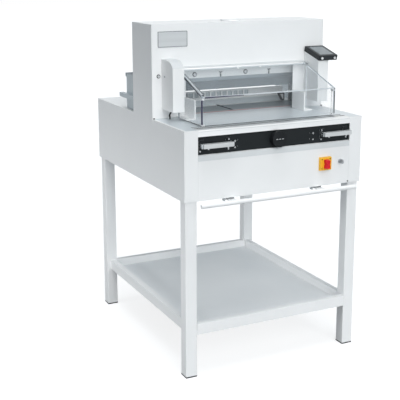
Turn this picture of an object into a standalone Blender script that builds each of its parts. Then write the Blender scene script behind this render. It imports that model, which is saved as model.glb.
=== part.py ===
"""Electric stack paper cutter on a stand with a shelf, in metres, +Z up.

Every sub-part is one named object. Places along Y are measured backwards from
the body's front face, places along X from the middle and places along Z from
the floor. The empty "datum" carries them all and puts the origin under the
middle of the whole machine.
"""
import math

import bmesh
import bpy
from mathutils import Vector

# Whole machine
BODY_WIDTH = 0.757
BODY_DEPTH = 0.890
BODY_HEIGHT = 0.259
TABLE_HEIGHT = 0.939
HEAD_HEIGHT = 0.354
HOUSING_FRONT = 0.283
HOUSING_DEPTH = 0.191

# Clearances and cuts
GAP = 0.0003
RUNNING = 0.0005
OVERRUN = 0.004
MERGE = 0.00001
ROUND_SIDES = 32
PIN_SIDES = 20

# Stand
LEG_SIDE = 0.0455
LEG_WALL = 0.002
LEG_INSET = 0.0063
LEG_EDGE = 0.0015
FOOT_THICK = 0.005
FOOT_PLUG = 0.025
SHELF_TOP = 0.208
SHELF_HEIGHT = 0.0417
SHELF_LIP = 0.022
SHELF_DROP = 0.032
SHELF_SHEET = 0.0015
SHELF_SIDE_INSET = 0.018

# Body panels
SIDE_SHEET = 0.003
PANEL_SHEET = 0.003
TOP_FLANGE = 0.009
FRONT_FLANGE = 0.054
REAR_FLANGE = 0.020
NOTCH_OFFSET = 0.0045
NOTCH_WIDTH = 0.004
NOTCH_DROP = 0.014
CHASSIS_FLOOR = 0.003
CHASSIS_RIM = 0.025
BEARER_SHEET = 0.008
BEARER_FRONT = 0.080
BEARER_END = 0.070
BEARER_INSET = 0.012

# Front face
PANEL_HEIGHT = 0.0665
NOSE_HEIGHT = 0.0245
PANEL_RECESS = 0.008
PANEL_THICK = 0.004
LEDGE_DEPTH = 0.012
NOSE_DEPTH = 0.050
NOSE_THICK = 0.012
NOSE_ROUND = 0.004
GROOVE_COUNT = 3
GROOVE_WIDTH = 0.002
GROOVE_DEPTH = 0.002
GROOVE_PITCH = 0.006
GROOVE_FIRST = 0.032

# Table and cutting stick
TABLE_THICK = 0.015
CUT_SETBACK = 0.0545
STICK_WIDTH = 0.010
STICK_HEIGHT = 0.010
STICK_OVERLAP = 0.0235
JOINT_SETBACK = 0.0115
SPINDLE_SLOT = 0.012
SLOT_START = 0.003
SLOT_END = 0.052

# Head housing
HOUSING_SHEET = 0.002
OPENING_INSET = 0.140
OPENING_DROP = 0.1735
RAIL_HEIGHT = 0.011
RAIL_REACH = 0.012
REAR_OPENING_INSET = 0.0435
REAR_OPENING_RISE = 0.001
CAP_SETBACK = 0.089
CAP_RADIUS = 0.040
CAP_HEIGHT = 0.005
CAP_ROUND = 0.002
CAP_PLUG_RADIUS = 0.030
CAP_PLUG_DEPTH = 0.006

# Side posts that carry the guard
POST_INSET = 0.0865
POST_WIDTH = 0.047
POST_DEPTH = 0.103
POST_RISE = 0.036
POST_OVER_HINGE = 0.0155
POST_CROWN = 0.026
POST_FLAT = 0.048
POST_WALL = 0.004
POST_ARC_STEPS = 8

# Guard over the front table
GUARD_PLAY = 0.006
GUARD_SHEET = 0.005
GUARD_FRONT = 0.050
GUARD_FRONT_HEIGHT = 0.110
GUARD_BOTTOM_GAP = 0.0025
GUARD_END = 0.008
GUARD_UNDER_HINGE = 0.0115
HINGE_SETBACK = 0.025
HINGE_RISE = 0.004
HINGE_RADIUS = 0.0045
HINGE_PIN_REACH = 0.006

# Gate frame and beams around the knife
FRAME_INSET = 0.0415
FRAME_WIDTH = 0.0315
FRAME_SETBACK = 0.0075
FRAME_END = 0.0115
FRAME_DROP = 0.031
FRONT_BEAM_THICK = 0.026
FRONT_BEAM_RISE = 0.0025
REAR_BEAM_PLAY = 0.0022
REAR_BEAM_DROP = 0.022

# Knife carrier and knife
STROKE_SIDE = 0.045
CARRIER_THICK = 0.0185
CARRIER_HEIGHT = 0.204
CARRIER_DROP = 0.009
CARRIER_PLAY = 0.0015
CARRIER_SWING = 0.0595
REBATE_DEPTH = 0.0093
KNIFE_HEIGHT = 0.080
KNIFE_DROP = 0.017
KNIFE_OVERLAP = 0.003
KNIFE_THICK = 0.009
KNIFE_BEVEL = 0.018
BLOCK_INSET = 0.015
BLOCK_RISE = 0.016
BLOCK_WIDTH = 0.016
BLOCK_LENGTH = 0.020

# Knife drive
ROD_INSET = 0.015
ROD_WIDTH = 0.022
ROD_THICK = 0.009
ROD_EYE_DROP = 0.052
ROD_EYE_BORE = 0.006
CRANK_THICK = 0.011
CRANK_HUB = 0.024
CRANK_END = 0.013
CRANK_PIN = 0.005
CRANK_PIN_LENGTH = 0.0015
SHAFT_RADIUS = 0.011
SHAFT_LENGTH = 0.050
GEARBOX_WIDTH = 0.110
GEARBOX_DEPTH = 0.120
GEARBOX_DROP = 0.039
MOTOR_RADIUS = 0.060
MOTOR_LENGTH = 0.185
ROD_SLOT_MARGIN = 0.002

# Clamp
CLAMP_OFFSET = 0.002
CLAMP_DEPTH = 0.050
CLAMP_DROP = 0.264
CLAMP_HEIGHT = 0.050
BOSS_HALF = 0.030
BOSS_HEIGHT = 0.051
CLAMP_SPINDLE_RADIUS = 0.010
CLAMP_SPINDLE_RISE = 0.003
THREAD_PLAY = 0.0004
BEARING_HALF = 0.040
BEARING_HEIGHT = 0.037

# Back gauge
GAUGE_SETBACK = 0.016
GAUGE_THICK = 0.012
GAUGE_INSET = 0.019
GAUGE_HEIGHT = 0.061
GAUGE_END_WIDTH = 0.020
GAUGE_END_DEPTH = 0.010
WINDOW_PITCH = 0.0259
WINDOW_WIDTH = 0.019
WINDOW_HEIGHT = 0.020
WINDOW_TOP_GAP = 0.006
WINDOW_DEPTH = 0.008
WINDOW_INSET = 0.169
CARRIAGE_DEPTH = 0.030
CARRIAGE_HALF = 0.030
CARRIAGE_HEIGHT = 0.030
NECK_WIDTH = 0.010
NUT_HALF = 0.014
NUT_HEIGHT = 0.028
GAUGE_SPINDLE_DROP = 0.025
GAUGE_SPINDLE_RADIUS = 0.007
GAUGE_SPINDLE_START = 0.002
SPINDLE_BLOCK_DEPTH = 0.012
GAUGE_MOTOR_DEPTH = 0.034
GAUGE_MOTOR_HALF = 0.026

# Side lays on the front table
LAY_THICK = 0.006
LAY_HEIGHT = 0.075
LAY_FOOT = 0.034
LAY_FOOT_THICK = 0.005
LAY_DEPTH = 0.088

# Rear guard
CHEEK_THICK = 0.0018
CHEEK_INSET = 0.0182
CHEEK_DEPTH = 0.116
CHEEK_HEIGHT = 0.138
REAR_RAIL_RISE = 0.045
REAR_RAIL_HEIGHT = 0.016
REAR_RAIL_REACH = 0.035
HOOD_SHEET = 0.004
HOOD_REACH = 0.010
HOOD_DROP = 0.012

# Controls on the front
KNOB_X = 0.004
KNOB_RISE = 0.034
KNOB_RADIUS = 0.031
KNOB_DEPTH = 0.024
KNOB_ROUND = 0.003
KNOB_SHAFT_RADIUS = 0.004
ACTIVATOR_LENGTH = 0.128
ACTIVATOR_INSET = 0.0062
ACTIVATOR_RISE = 0.035
ACTIVATOR_BASE_WIDTH = 0.022
ACTIVATOR_BASE_HEIGHT = 0.038
ACTIVATOR_BASE_THICK = 0.003
EAR_THICK = 0.004
EAR_HEIGHT = 0.016
EAR_REACH = 0.022
EAR_BORE = 0.003
WEB_HEIGHT = 0.004
BAR_HEIGHT = 0.016
BAR_FRONT = 0.028
NUB_SETBACK = 0.006
NUB_RADIUS = 0.003
NUB_LENGTH = 0.004
NUB_INSET = 0.020
SWITCH_INSET = 0.166
SWITCH_DROP = 0.081
SWITCH_SIDE = 0.052
SWITCH_THICK = 0.012
SWITCH_EDGE = 0.003
HANDLE_WIDTH = 0.022
HANDLE_HEIGHT = 0.036
HANDLE_DEPTH = 0.016
HANDLE_HUB = 0.016
HANDLE_HUB_DEPTH = 0.004
KEY_ASIDE = 0.071
KEY_RISE = 0.0025
LOCK_RADIUS = 0.009
LOCK_DEPTH = 0.006
LOCK_SHANK_RADIUS = 0.006
LOCK_SHANK_DEPTH = 0.016
KEY_WIDTH = 0.010
KEY_HEIGHT = 0.018
KEY_THICK = 0.0022
KEY_REACH = 0.018

# Display on the right post
DISPLAY_OVERHANG = 0.003
DISPLAY_WIDTH = 0.085
DISPLAY_LENGTH = 0.114
DISPLAY_THICK = 0.021
DISPLAY_TILT = math.radians(15.3)
DISPLAY_SETBACK = 0.0065
DISPLAY_OVER_HINGE = 0.065
DISPLAY_EDGE = 0.002
SCREEN_SIDE_MARGIN = 0.010
SCREEN_END_MARGIN = 0.012
SCREEN_RECESS = 0.001
BUTTON_RADIUS = 0.0045
BUTTON_REACH = 0.0035
BUTTON_DEPTH = 0.004
BUTTON_PLAY = 0.0003
BUTTON_SIDE = 0.013

# Clamping bar under the front
CLAMP_BAR_Y = 0.040
CLAMP_BAR_RADIUS = 0.0085
CLAMP_BAR_INSET = 0.0465
BRACKET_INSET = 0.142
BRACKET_BAR_WIDTH = 0.048
BRACKET_BODY_WIDTH = 0.026
BRACKET_SHEET = 0.004
BRACKET_Y = 0.024
KNUCKLE_RADIUS = 0.0045
KNUCKLE_HALF = 0.016
HINGE_PIN_RADIUS = 0.0025
LUG_WIDTH = 0.005
LUG_HALF_DEPTH = 0.007
LUG_HEIGHT = 0.016

# Short lead from the left post to the table
LEAD_RADIUS = 0.003
LEAD_ASIDE = 0.023
LEAD_SETBACK = 0.034
LEAD_RUN = 0.013
LEAD_BOW = 0.004
LEAD_SIDES = 2
LEAD_POINTS = 11
LEAD_END_SHARE = 0.1

# Heights worked out from the sizes above
BODY_BOTTOM = TABLE_HEIGHT - BODY_HEIGHT
HOUSING_TOP = TABLE_HEIGHT + HEAD_HEIGHT
TABLE_UNDER = TABLE_HEIGHT - TABLE_THICK
CHASSIS_TOP = BODY_BOTTOM + CHASSIS_FLOOR
PANEL_TOP = TABLE_HEIGHT - NOSE_HEIGHT
PANEL_BOTTOM = PANEL_TOP - PANEL_HEIGHT
OPENING_TOP = HOUSING_TOP - OPENING_DROP
HINGE_Z = OPENING_TOP + HINGE_RISE
GUARD_FRONT_TOP = TABLE_HEIGHT + GUARD_FRONT_HEIGHT
GUARD_BACK_TOP = HINGE_Z - GUARD_UNDER_HINGE
POST_BOTTOM = TABLE_HEIGHT + POST_RISE
POST_FRONT_TOP = HINGE_Z + POST_OVER_HINGE
POST_BACK_TOP = POST_FRONT_TOP + POST_CROWN
DISPLAY_BACK_TOP = HINGE_Z + DISPLAY_OVER_HINGE
FRAME_TOP = HOUSING_TOP - FRAME_DROP
FRONT_BEAM_BOTTOM = OPENING_TOP + FRONT_BEAM_RISE
REAR_BEAM_BOTTOM = FRONT_BEAM_BOTTOM - REAR_BEAM_DROP
BEARING_BOTTOM = FRAME_TOP - BEARING_HEIGHT
CARRIER_TOP = HOUSING_TOP - CARRIER_DROP
CARRIER_BOTTOM = CARRIER_TOP - CARRIER_HEIGHT
KNIFE_EDGE = CARRIER_BOTTOM - KNIFE_DROP
STROKE_DOWN = KNIFE_EDGE - TABLE_HEIGHT - RUNNING
BLOCK_Z = FRONT_BEAM_BOTTOM + BLOCK_RISE
ROD_EYE_Z = TABLE_UNDER - ROD_EYE_DROP
CRANK_Z = ROD_EYE_Z - STROKE_DOWN / 2
GEARBOX_TOP = TABLE_UNDER - GEARBOX_DROP
CLAMP_BOTTOM = HOUSING_TOP - CLAMP_DROP
CLAMP_SPINDLE_BOTTOM = CLAMP_BOTTOM + CLAMP_SPINDLE_RISE
CLAMP_SPINDLE_TOP = CARRIER_TOP
GAUGE_TOP = TABLE_HEIGHT + GAUGE_HEIGHT
GAUGE_SPINDLE_Z = TABLE_UNDER - GAUGE_SPINDLE_DROP
CHEEK_TOP = TABLE_HEIGHT + CHEEK_HEIGHT
REAR_OPENING_TOP = CHEEK_TOP + REAR_OPENING_RISE
REAR_RAIL_BOTTOM = TABLE_HEIGHT + REAR_RAIL_RISE
REAR_RAIL_TOP = REAR_RAIL_BOTTOM + REAR_RAIL_HEIGHT
KNOB_Z = PANEL_BOTTOM + KNOB_RISE
ACTIVATOR_Z = PANEL_BOTTOM + ACTIVATOR_RISE
SWITCH_Z = PANEL_BOTTOM - SWITCH_DROP
KEY_Z = SWITCH_Z + KEY_RISE
CLAMP_BAR_Z = BODY_BOTTOM - CLAMP_BAR_RADIUS

# Places along the depth
HOUSING_BACK = HOUSING_FRONT + HOUSING_DEPTH
FRONT_REACH = CLAMP_BAR_Y + CLAMP_BAR_RADIUS
DATUM_Y = (FRONT_REACH - BODY_DEPTH) / 2
LEG_FRONT_Y = LEG_INSET + LEG_SIDE / 2
LEG_BACK_Y = BODY_DEPTH - LEG_INSET - LEG_SIDE / 2
BEARER_BACK = BODY_DEPTH - BEARER_END
CUT_LINE = HOUSING_FRONT + CUT_SETBACK
TABLE_JOINT = CUT_LINE + JOINT_SETBACK
SLOT_FRONT = TABLE_JOINT + SLOT_START
SLOT_BACK = BODY_DEPTH - SLOT_END
CAP_CENTRE = HOUSING_FRONT + CAP_SETBACK
POST_FRONT = HOUSING_FRONT - POST_DEPTH
HINGE_Y = HOUSING_FRONT - HINGE_SETBACK
GUARD_BACK = HINGE_Y - GUARD_END
FRAME_FRONT = HOUSING_FRONT + FRAME_SETBACK
FRAME_BACK = HOUSING_BACK - FRAME_END
FRONT_BEAM_BACK = FRAME_FRONT + FRONT_BEAM_THICK
CARRIER_BACK = CUT_LINE
CARRIER_FRONT = CUT_LINE - CARRIER_THICK
CRANK_FRONT = CARRIER_BACK + RUNNING
CLAMP_FRONT = CUT_LINE + CLAMP_OFFSET
CLAMP_BACK = CLAMP_FRONT + CLAMP_DEPTH
CLAMP_AXIS_Y = CLAMP_FRONT + CLAMP_DEPTH / 2
REAR_BEAM_FRONT = CLAMP_BACK + REAR_BEAM_PLAY
GAUGE_FRONT = HOUSING_BACK + GAUGE_SETBACK
GAUGE_SPINDLE_FRONT = SLOT_FRONT + GAUGE_SPINDLE_START
LAY_FRONT = HOUSING_FRONT - LAY_DEPTH
CHEEK_BACK = HOUSING_BACK + CHEEK_DEPTH
REAR_RAIL_BACK = CHEEK_BACK + REAR_RAIL_REACH
HOOD_BACK = CHEEK_BACK + HOOD_REACH
DISPLAY_BACK = HOUSING_FRONT - DISPLAY_SETBACK
LEAD_TOP_Y = HOUSING_FRONT - LEAD_SETBACK
LEAD_BOTTOM_Y = LEAD_TOP_Y + LEAD_RUN

# Places across the width
HALF = BODY_WIDTH / 2
TABLE_HALF = HALF - TOP_FLANGE - GAP
INNER_HALF = HALF - SIDE_SHEET - GAP
FRONT_HALF = HALF - FRONT_FLANGE - GAP
LEG_X = HALF - LEG_INSET - LEG_SIDE / 2
OPENING_HALF = HALF - OPENING_INSET
REAR_OPENING_HALF = HALF - REAR_OPENING_INSET
POST_INNER = HALF - POST_INSET
GUARD_HALF = POST_INNER - GUARD_PLAY
FRAME_INNER = HALF - FRAME_INSET
STICK_HALF = OPENING_HALF + STICK_OVERLAP
KNIFE_HALF = STICK_HALF + KNIFE_OVERLAP
KNIFE_X = STROKE_SIDE / 2
BLOCK_X = KNIFE_HALF - BLOCK_INSET
CARRIER_RIGHT = FRAME_INNER - CARRIER_PLAY
CARRIER_LEFT = FRAME_INNER - CARRIER_SWING
STROKE = math.hypot(STROKE_SIDE, STROKE_DOWN)
SLANT = math.atan2(STROKE_SIDE, STROKE_DOWN)
ROD_X = FRAME_INNER - ROD_INSET
CRANK_X = ROD_X - STROKE_SIDE / 2
GAUGE_HALF = FRAME_INNER - GAUGE_INSET
WINDOW_RIGHT = GAUGE_HALF - WINDOW_INSET
WINDOW_COUNT = int((WINDOW_RIGHT + GAUGE_HALF - GAUGE_END_WIDTH) / WINDOW_PITCH)
ACTIVATOR_OUT = FRONT_HALF - ACTIVATOR_INSET
ACTIVATOR_IN = ACTIVATOR_OUT - ACTIVATOR_LENGTH
SWITCH_X = HALF - SWITCH_INSET
KEY_X = SWITCH_X + KEY_ASIDE
DISPLAY_INNER = POST_INNER - DISPLAY_OVERHANG
CLAMP_BAR_HALF = HALF - CLAMP_BAR_INSET
BRACKET_X = CLAMP_BAR_HALF - BRACKET_INSET
HINGE_LINE = (0, BRACKET_Y, CLAMP_BAR_Z)
LEAD_X = POST_INNER + LEAD_ASIDE

def collection(name):
    made = bpy.data.collections.new(name)
    bpy.context.scene.collection.children.link(made)
    return made


def paint(name, colour, roughness, metallic=0, alpha=1):
    """A Principled material."""
    made = bpy.data.materials.new(name)
    made.use_nodes = True
    shader = made.node_tree.nodes["Principled BSDF"]
    shader.inputs["Base Color"].default_value = (*colour, 1)
    shader.inputs["Roughness"].default_value = roughness
    shader.inputs["Metallic"].default_value = metallic
    shader.inputs["Alpha"].default_value = alpha
    return made


def pivot(name, location):
    """An empty on a joint's axis, which carries a moving piece."""
    made = bpy.data.objects.new(name, None)
    PARTS.objects.link(made)
    made.parent = DATUM
    made.location = location
    return made


def place(name, mesh, centre, material, parent=None):
    """Adds one sub-part; without a material it is a cutter."""
    made = bpy.data.objects.new(name, mesh)
    carrier = parent or DATUM
    made.parent = carrier
    shift = Vector((0, 0, 0)) if carrier is DATUM else carrier.location
    made.location = Vector(centre) - shift
    if material:
        mesh.materials.append(material)
        PARTS.objects.link(made)
    else:
        CUTTERS.objects.link(made)
        made.hide_render = True
        made.display_type = "WIRE"
    return made


def bevel(target, width, segments=2):
    edge = target.modifiers.new("rounded edges", "BEVEL")
    edge.width = width
    edge.segments = segments
    edge.limit_method = "ANGLE"
    return target


def box(name, low, high, material=None, parent=None):
    """A block between two corners."""
    mesh = bpy.data.meshes.new(name)
    shape = bmesh.new()
    bmesh.ops.create_cube(shape, size=1)
    bmesh.ops.scale(shape, vec=Vector(high) - Vector(low), verts=shape.verts)
    shape.to_mesh(mesh)
    shape.free()
    return place(name, mesh, (Vector(low) + Vector(high)) / 2, material, parent)


def rod(name, start, end, radius, material=None, parent=None, sides=ROUND_SIDES):
    """A round bar between two points."""
    run = Vector(end) - Vector(start)
    mesh = bpy.data.meshes.new(name)
    shape = bmesh.new()
    bmesh.ops.create_cone(shape, cap_ends=True, segments=sides, radius1=radius, radius2=radius,
                          depth=run.length)
    shape.to_mesh(mesh)
    shape.free()
    mesh.shade_smooth()
    mesh.set_sharp_from_angle(angle=math.radians(40))
    made = place(name, mesh, (Vector(start) + Vector(end)) / 2, material, parent)
    made.rotation_euler = run.to_track_quat("Z", "Y").to_euler()
    return made


TURNS = {"XY": (0, 0, 0), "XZ": (math.pi / 2, 0, 0), "YZ": (math.pi / 2, 0, math.pi / 2)}


def plate(name, points, thickness, plane, middle, material=None, parent=None):
    """A flat outline in one plane, with its thickness on both sides of "middle"."""
    across = [point[0] for point in points]
    along = [point[1] for point in points]
    centre_across = (min(across) + max(across)) / 2
    centre_along = (min(along) + max(along)) / 2
    curve = bpy.data.curves.new(name, "CURVE")
    curve.dimensions = "2D"
    curve.fill_mode = "BOTH"
    curve.extrude = thickness / 2
    line = curve.splines.new("POLY")
    line.points.add(len(points) - 1)
    line.use_cyclic_u = True
    for spot, point in zip(line.points, points):
        spot.co = (point[0] - centre_across, point[1] - centre_along, 0, 1)
    drawn = bpy.data.objects.new(name + "_outline", curve)
    CUTTERS.objects.link(drawn)
    mesh = bpy.data.meshes.new_from_object(drawn.evaluated_get(bpy.context.evaluated_depsgraph_get()))
    bpy.data.objects.remove(drawn)
    shape = bmesh.new()
    shape.from_mesh(mesh)
    bmesh.ops.remove_doubles(shape, verts=shape.verts, dist=MERGE)
    bmesh.ops.recalc_face_normals(shape, faces=shape.faces)
    shape.to_mesh(mesh)
    shape.free()
    mesh.materials.clear()
    mesh.name = name
    spots = {"XY": (centre_across, centre_along, middle), "XZ": (centre_across, middle, centre_along),
             "YZ": (middle, centre_across, centre_along)}
    made = place(name, mesh, spots[plane], material, parent)
    made.rotation_euler = TURNS[plane]
    return made


def arc(centre, radius, start, end, steps):
    """Points along an arc, with its angles in degrees."""
    spots = []
    for step in range(steps + 1):
        angle = math.radians(start + (end - start) * step / steps)
        spots.append((centre[0] + radius * math.cos(angle), centre[1] + radius * math.sin(angle)))
    return spots


def turned(name, profile, centre, material, parent=None, lie=(0, 0, 0)):
    """A piece turned about its own Z: the profile runs down its outer side, as (radius, height)."""
    mesh = bpy.data.meshes.new(name)
    shape = bmesh.new()
    spots = [shape.verts.new((radius, 0, height)) for radius, height in profile]
    for first, second in zip(spots, spots[1:]):
        shape.edges.new((first, second))
    shape.to_mesh(mesh)
    shape.free()
    made = place(name, mesh, centre, material, parent)
    made.rotation_euler = lie
    screw = made.modifiers.new("turned", "SCREW")
    screw.steps = ROUND_SIDES
    screw.render_steps = ROUND_SIDES
    screw.use_merge_vertices = True
    screw.merge_threshold = MERGE
    return made


def combine(target, other, operation):
    change = target.modifiers.new(operation.lower(), "BOOLEAN")
    change.operation = operation
    change.object = other
    return target


def cut(target, *cutters):
    for cutter in cutters:
        combine(target, cutter, "DIFFERENCE")
    return target


def join(target, *others):
    for other in others:
        combine(target, other, "UNION")
    return target


def mirrored(side, low, high):
    """The two corners of a block at +X, moved to the side with that sign."""
    ends = sorted((side * low[0], side * high[0]))
    return (ends[0], low[1], low[2]), (ends[1], high[1], high[2])


def make_stand():
    for place_y, row in ((LEG_FRONT_Y, "front"), (LEG_BACK_Y, "rear")):
        for side, hand in ((-1, "left"), (1, "right")):
            make_leg(side * LEG_X, place_y, row + "_" + hand)
    make_shelf()


def make_leg(x, y, where):
    half = LEG_SIDE / 2
    bore = half - LEG_WALL
    top = BODY_BOTTOM - GAP
    leg = box("leg_" + where, (x - half, y - half, FOOT_THICK + GAP), (x + half, y + half, top), WHITE)
    bevel(leg, LEG_EDGE)
    cut(leg, box("bore_" + where, (x - bore, y - bore, 0), (x + bore, y + bore, top + OVERRUN)))
    foot = box("foot_" + where, (x - half, y - half, 0), (x + half, y + half, FOOT_THICK), RUBBER)
    plug = bore - GAP
    join(foot, box("plug_" + where, (x - plug, y - plug, FOOT_THICK / 2),
                   (x + plug, y + plug, FOOT_THICK + FOOT_PLUG)))


def make_shelf():
    half = HALF - LEG_INSET - SHELF_SIDE_INSET
    front = LEG_INSET
    back = LEG_BACK_Y - LEG_SIDE / 2 + SHELF_LIP
    bottom = SHELF_TOP - SHELF_HEIGHT
    floor = SHELF_TOP - SHELF_DROP
    shelf = box("shelf_tray", (-half, front, bottom), (half, back, SHELF_TOP), SHELF_GREY)
    inner = half - SHELF_LIP
    cut(shelf, box("tray_pocket", (-inner, front + SHELF_LIP, floor),
                   (inner, back - SHELF_LIP, SHELF_TOP + OVERRUN)))
    skirt = half - SHELF_SHEET
    under = box("tray_underside", (-skirt, front + SHELF_SHEET, bottom - OVERRUN),
                (skirt, back - SHELF_SHEET, floor - SHELF_SHEET))
    cut(shelf, under)
    rim = box("rim_hollow", (-skirt, front + SHELF_SHEET, bottom - OVERRUN),
              (skirt, back - SHELF_SHEET, SHELF_TOP - SHELF_SHEET))
    wall = inner + SHELF_SHEET
    keep = SHELF_LIP - SHELF_SHEET
    cut(rim, box("rim_core", (-wall, front + keep, bottom - OVERRUN - OVERRUN),
                 (wall, back - keep, SHELF_TOP + OVERRUN)))
    cut(shelf, rim)
    reach = LEG_SIDE / 2 + GAP
    for side, hand in ((-1, "left"), (1, "right")):
        for place_y, row, far in ((LEG_FRONT_Y, "front", -OVERRUN), (LEG_BACK_Y, "rear", OVERRUN)):
            low_y = min(place_y - reach, place_y - reach + far)
            high_y = max(place_y + reach, place_y + reach + far)
            low, high = mirrored(side, (LEG_X - reach, low_y, bottom - OVERRUN),
                                 (LEG_X + reach + OVERRUN, high_y, SHELF_TOP + OVERRUN))
            cut(shelf, box("leg_notch_" + row + "_" + hand, low, high))


def make_side_panel(side, hand):
    """One folded sheet closes the body's side and the housing's side."""
    outline = ((0, BODY_BOTTOM), (BODY_DEPTH, BODY_BOTTOM), (BODY_DEPTH, TABLE_HEIGHT),
               (HOUSING_BACK, TABLE_HEIGHT), (HOUSING_BACK, HOUSING_TOP), (HOUSING_FRONT, HOUSING_TOP),
               (HOUSING_FRONT, TABLE_HEIGHT), (0, TABLE_HEIGHT))
    panel = plate("side_panel_" + hand, outline, FRONT_FLANGE, "YZ", side * (HALF - FRONT_FLANGE / 2), WHITE)
    near = HALF - FRONT_FLANGE - OVERRUN
    wall = HALF - SIDE_SHEET
    lip = HALF - TOP_FLANGE
    back = BODY_DEPTH - PANEL_SHEET
    under = TABLE_HEIGHT - PANEL_SHEET
    notch = HOUSING_FRONT - NOTCH_OFFSET
    hollows = (
        ("body_hollow_", (near, PANEL_SHEET, BODY_BOTTOM - OVERRUN), (wall, back, under)),
        ("housing_hollow_", (near, HOUSING_FRONT - OVERRUN, TABLE_HEIGHT + GAP / 2),
         (wall, HOUSING_BACK + OVERRUN, HOUSING_TOP + OVERRUN)),
        ("top_edge_", (near, PANEL_SHEET, under - OVERRUN),
         (lip, BODY_DEPTH + OVERRUN, TABLE_HEIGHT + OVERRUN)),
        ("rear_edge_", (near, back - OVERRUN, BODY_BOTTOM - OVERRUN),
         (HALF - REAR_FLANGE, BODY_DEPTH + OVERRUN, TABLE_HEIGHT + OVERRUN)),
        ("rear_corner_", (near, back - OVERRUN, TABLE_UNDER - GAP),
         (lip, BODY_DEPTH + OVERRUN, TABLE_HEIGHT + OVERRUN)),
        ("notch_", (lip - OVERRUN, notch - NOTCH_WIDTH, TABLE_HEIGHT - NOTCH_DROP),
         (HALF + OVERRUN, notch, TABLE_HEIGHT + OVERRUN)),
    )
    for name, low, high in hollows:
        cut(panel, box(name + hand, *mirrored(side, low, high)))


def make_body():
    for side, hand in ((-1, "left"), (1, "right")):
        make_side_panel(side, hand)
    make_chassis()
    make_front()
    rear_half = HALF - REAR_FLANGE - GAP
    box("rear_panel", (-rear_half, BODY_DEPTH - PANEL_SHEET, BODY_BOTTOM),
        (rear_half, BODY_DEPTH, TABLE_UNDER - GAP), WHITE)


def make_chassis():
    """The floor pan with the two bearers that carry the table."""
    inside = PANEL_SHEET + GAP
    wall = CHASSIS_FLOOR
    chassis = box("chassis", (-INNER_HALF, inside, BODY_BOTTOM),
                  (INNER_HALF, BODY_DEPTH - inside, BODY_BOTTOM + CHASSIS_RIM), STEEL_GREY)
    cut(chassis, box("pan_pocket", (wall - INNER_HALF, inside + wall, CHASSIS_TOP),
                     (INNER_HALF - wall, BODY_DEPTH - inside - wall, BODY_BOTTOM + CHASSIS_RIM + OVERRUN)))
    for side, hand in ((-1, "left"), (1, "right")):
        outer = HALF - BEARER_INSET
        low, high = mirrored(side, (outer - BEARER_SHEET, BEARER_FRONT, CHASSIS_TOP - CHASSIS_FLOOR / 2),
                             (outer, BEARER_BACK, TABLE_UNDER - GAP))
        join(chassis, box("bearer_" + hand, low, high))
    lug_end = KNUCKLE_HALF + RUNNING + LUG_WIDTH
    bores = []
    for side, hand in ((-1, "left"), (1, "right")):
        for end, tip in ((-1, "a"), (1, "b")):
            ends = sorted((end * (KNUCKLE_HALF + RUNNING), end * lug_end))
            near = side * BRACKET_X + ends[0]
            far = side * BRACKET_X + ends[1]
            lug = box("lug_" + hand + tip, (near, BRACKET_Y - LUG_HALF_DEPTH, BODY_BOTTOM - LUG_HEIGHT),
                      (far, BRACKET_Y + LUG_HALF_DEPTH, BODY_BOTTOM + CHASSIS_FLOOR / 2))
            join(chassis, lug)
            bores.append(rod("lug_bore_" + hand + tip, (near - OVERRUN / 2, BRACKET_Y, CLAMP_BAR_Z),
                             (far + OVERRUN / 2, BRACKET_Y, CLAMP_BAR_Z), HINGE_PIN_RADIUS + THREAD_PLAY,
                             sides=PIN_SIDES))
    cut(chassis, *bores)


def make_front():
    front = box("front_panel", (-FRONT_HALF, 0, BODY_BOTTOM), (FRONT_HALF, PANEL_SHEET, PANEL_BOTTOM), WHITE)
    join(front, box("panel_ledge", (-FRONT_HALF, 0, PANEL_BOTTOM - PANEL_SHEET),
                    (FRONT_HALF, LEDGE_DEPTH, PANEL_BOTTOM)))
    back = LEDGE_DEPTH - OVERRUN / 2
    cut(front, rod("switch_bore", (SWITCH_X, -OVERRUN, SWITCH_Z), (SWITCH_X, back, SWITCH_Z), HANDLE_HUB / 2))
    cut(front, rod("lock_bore", (KEY_X, -OVERRUN, KEY_Z), (KEY_X, back, KEY_Z), LOCK_SHANK_RADIUS + RUNNING))
    low = PANEL_BOTTOM + GAP
    high = PANEL_TOP - GAP
    panel = box("control_panel", (-FRONT_HALF, PANEL_RECESS, low),
                (FRONT_HALF, PANEL_RECESS + PANEL_THICK, high), BLACK)
    cut(panel, rod("knob_bore", (KNOB_X, 0, KNOB_Z), (KNOB_X, PANEL_RECESS + PANEL_THICK + OVERRUN, KNOB_Z),
                   KNOB_SHAFT_RADIUS + RUNNING))
    make_nosing()


def make_nosing():
    """The grooved profile along the table's front edge."""
    lip = NOSE_THICK
    profile = [(lip, PANEL_TOP), (lip, TABLE_UNDER), (NOSE_DEPTH, TABLE_UNDER), (NOSE_DEPTH, TABLE_HEIGHT)]
    for groove in range(GROOVE_COUNT):
        near = GROOVE_FIRST + (GROOVE_COUNT - 1 - groove) * GROOVE_PITCH
        far = near + GROOVE_WIDTH
        floor = TABLE_HEIGHT - GROOVE_DEPTH
        profile += [(far, TABLE_HEIGHT), (far, floor), (near, floor), (near, TABLE_HEIGHT)]
    profile += arc((NOSE_ROUND, TABLE_HEIGHT - NOSE_ROUND), NOSE_ROUND, 90, 180, POST_ARC_STEPS)
    profile += [(0, PANEL_TOP)]
    plate("front_nosing", profile, 2 * FRONT_HALF, "YZ", 0, ALUMINIUM)


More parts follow.
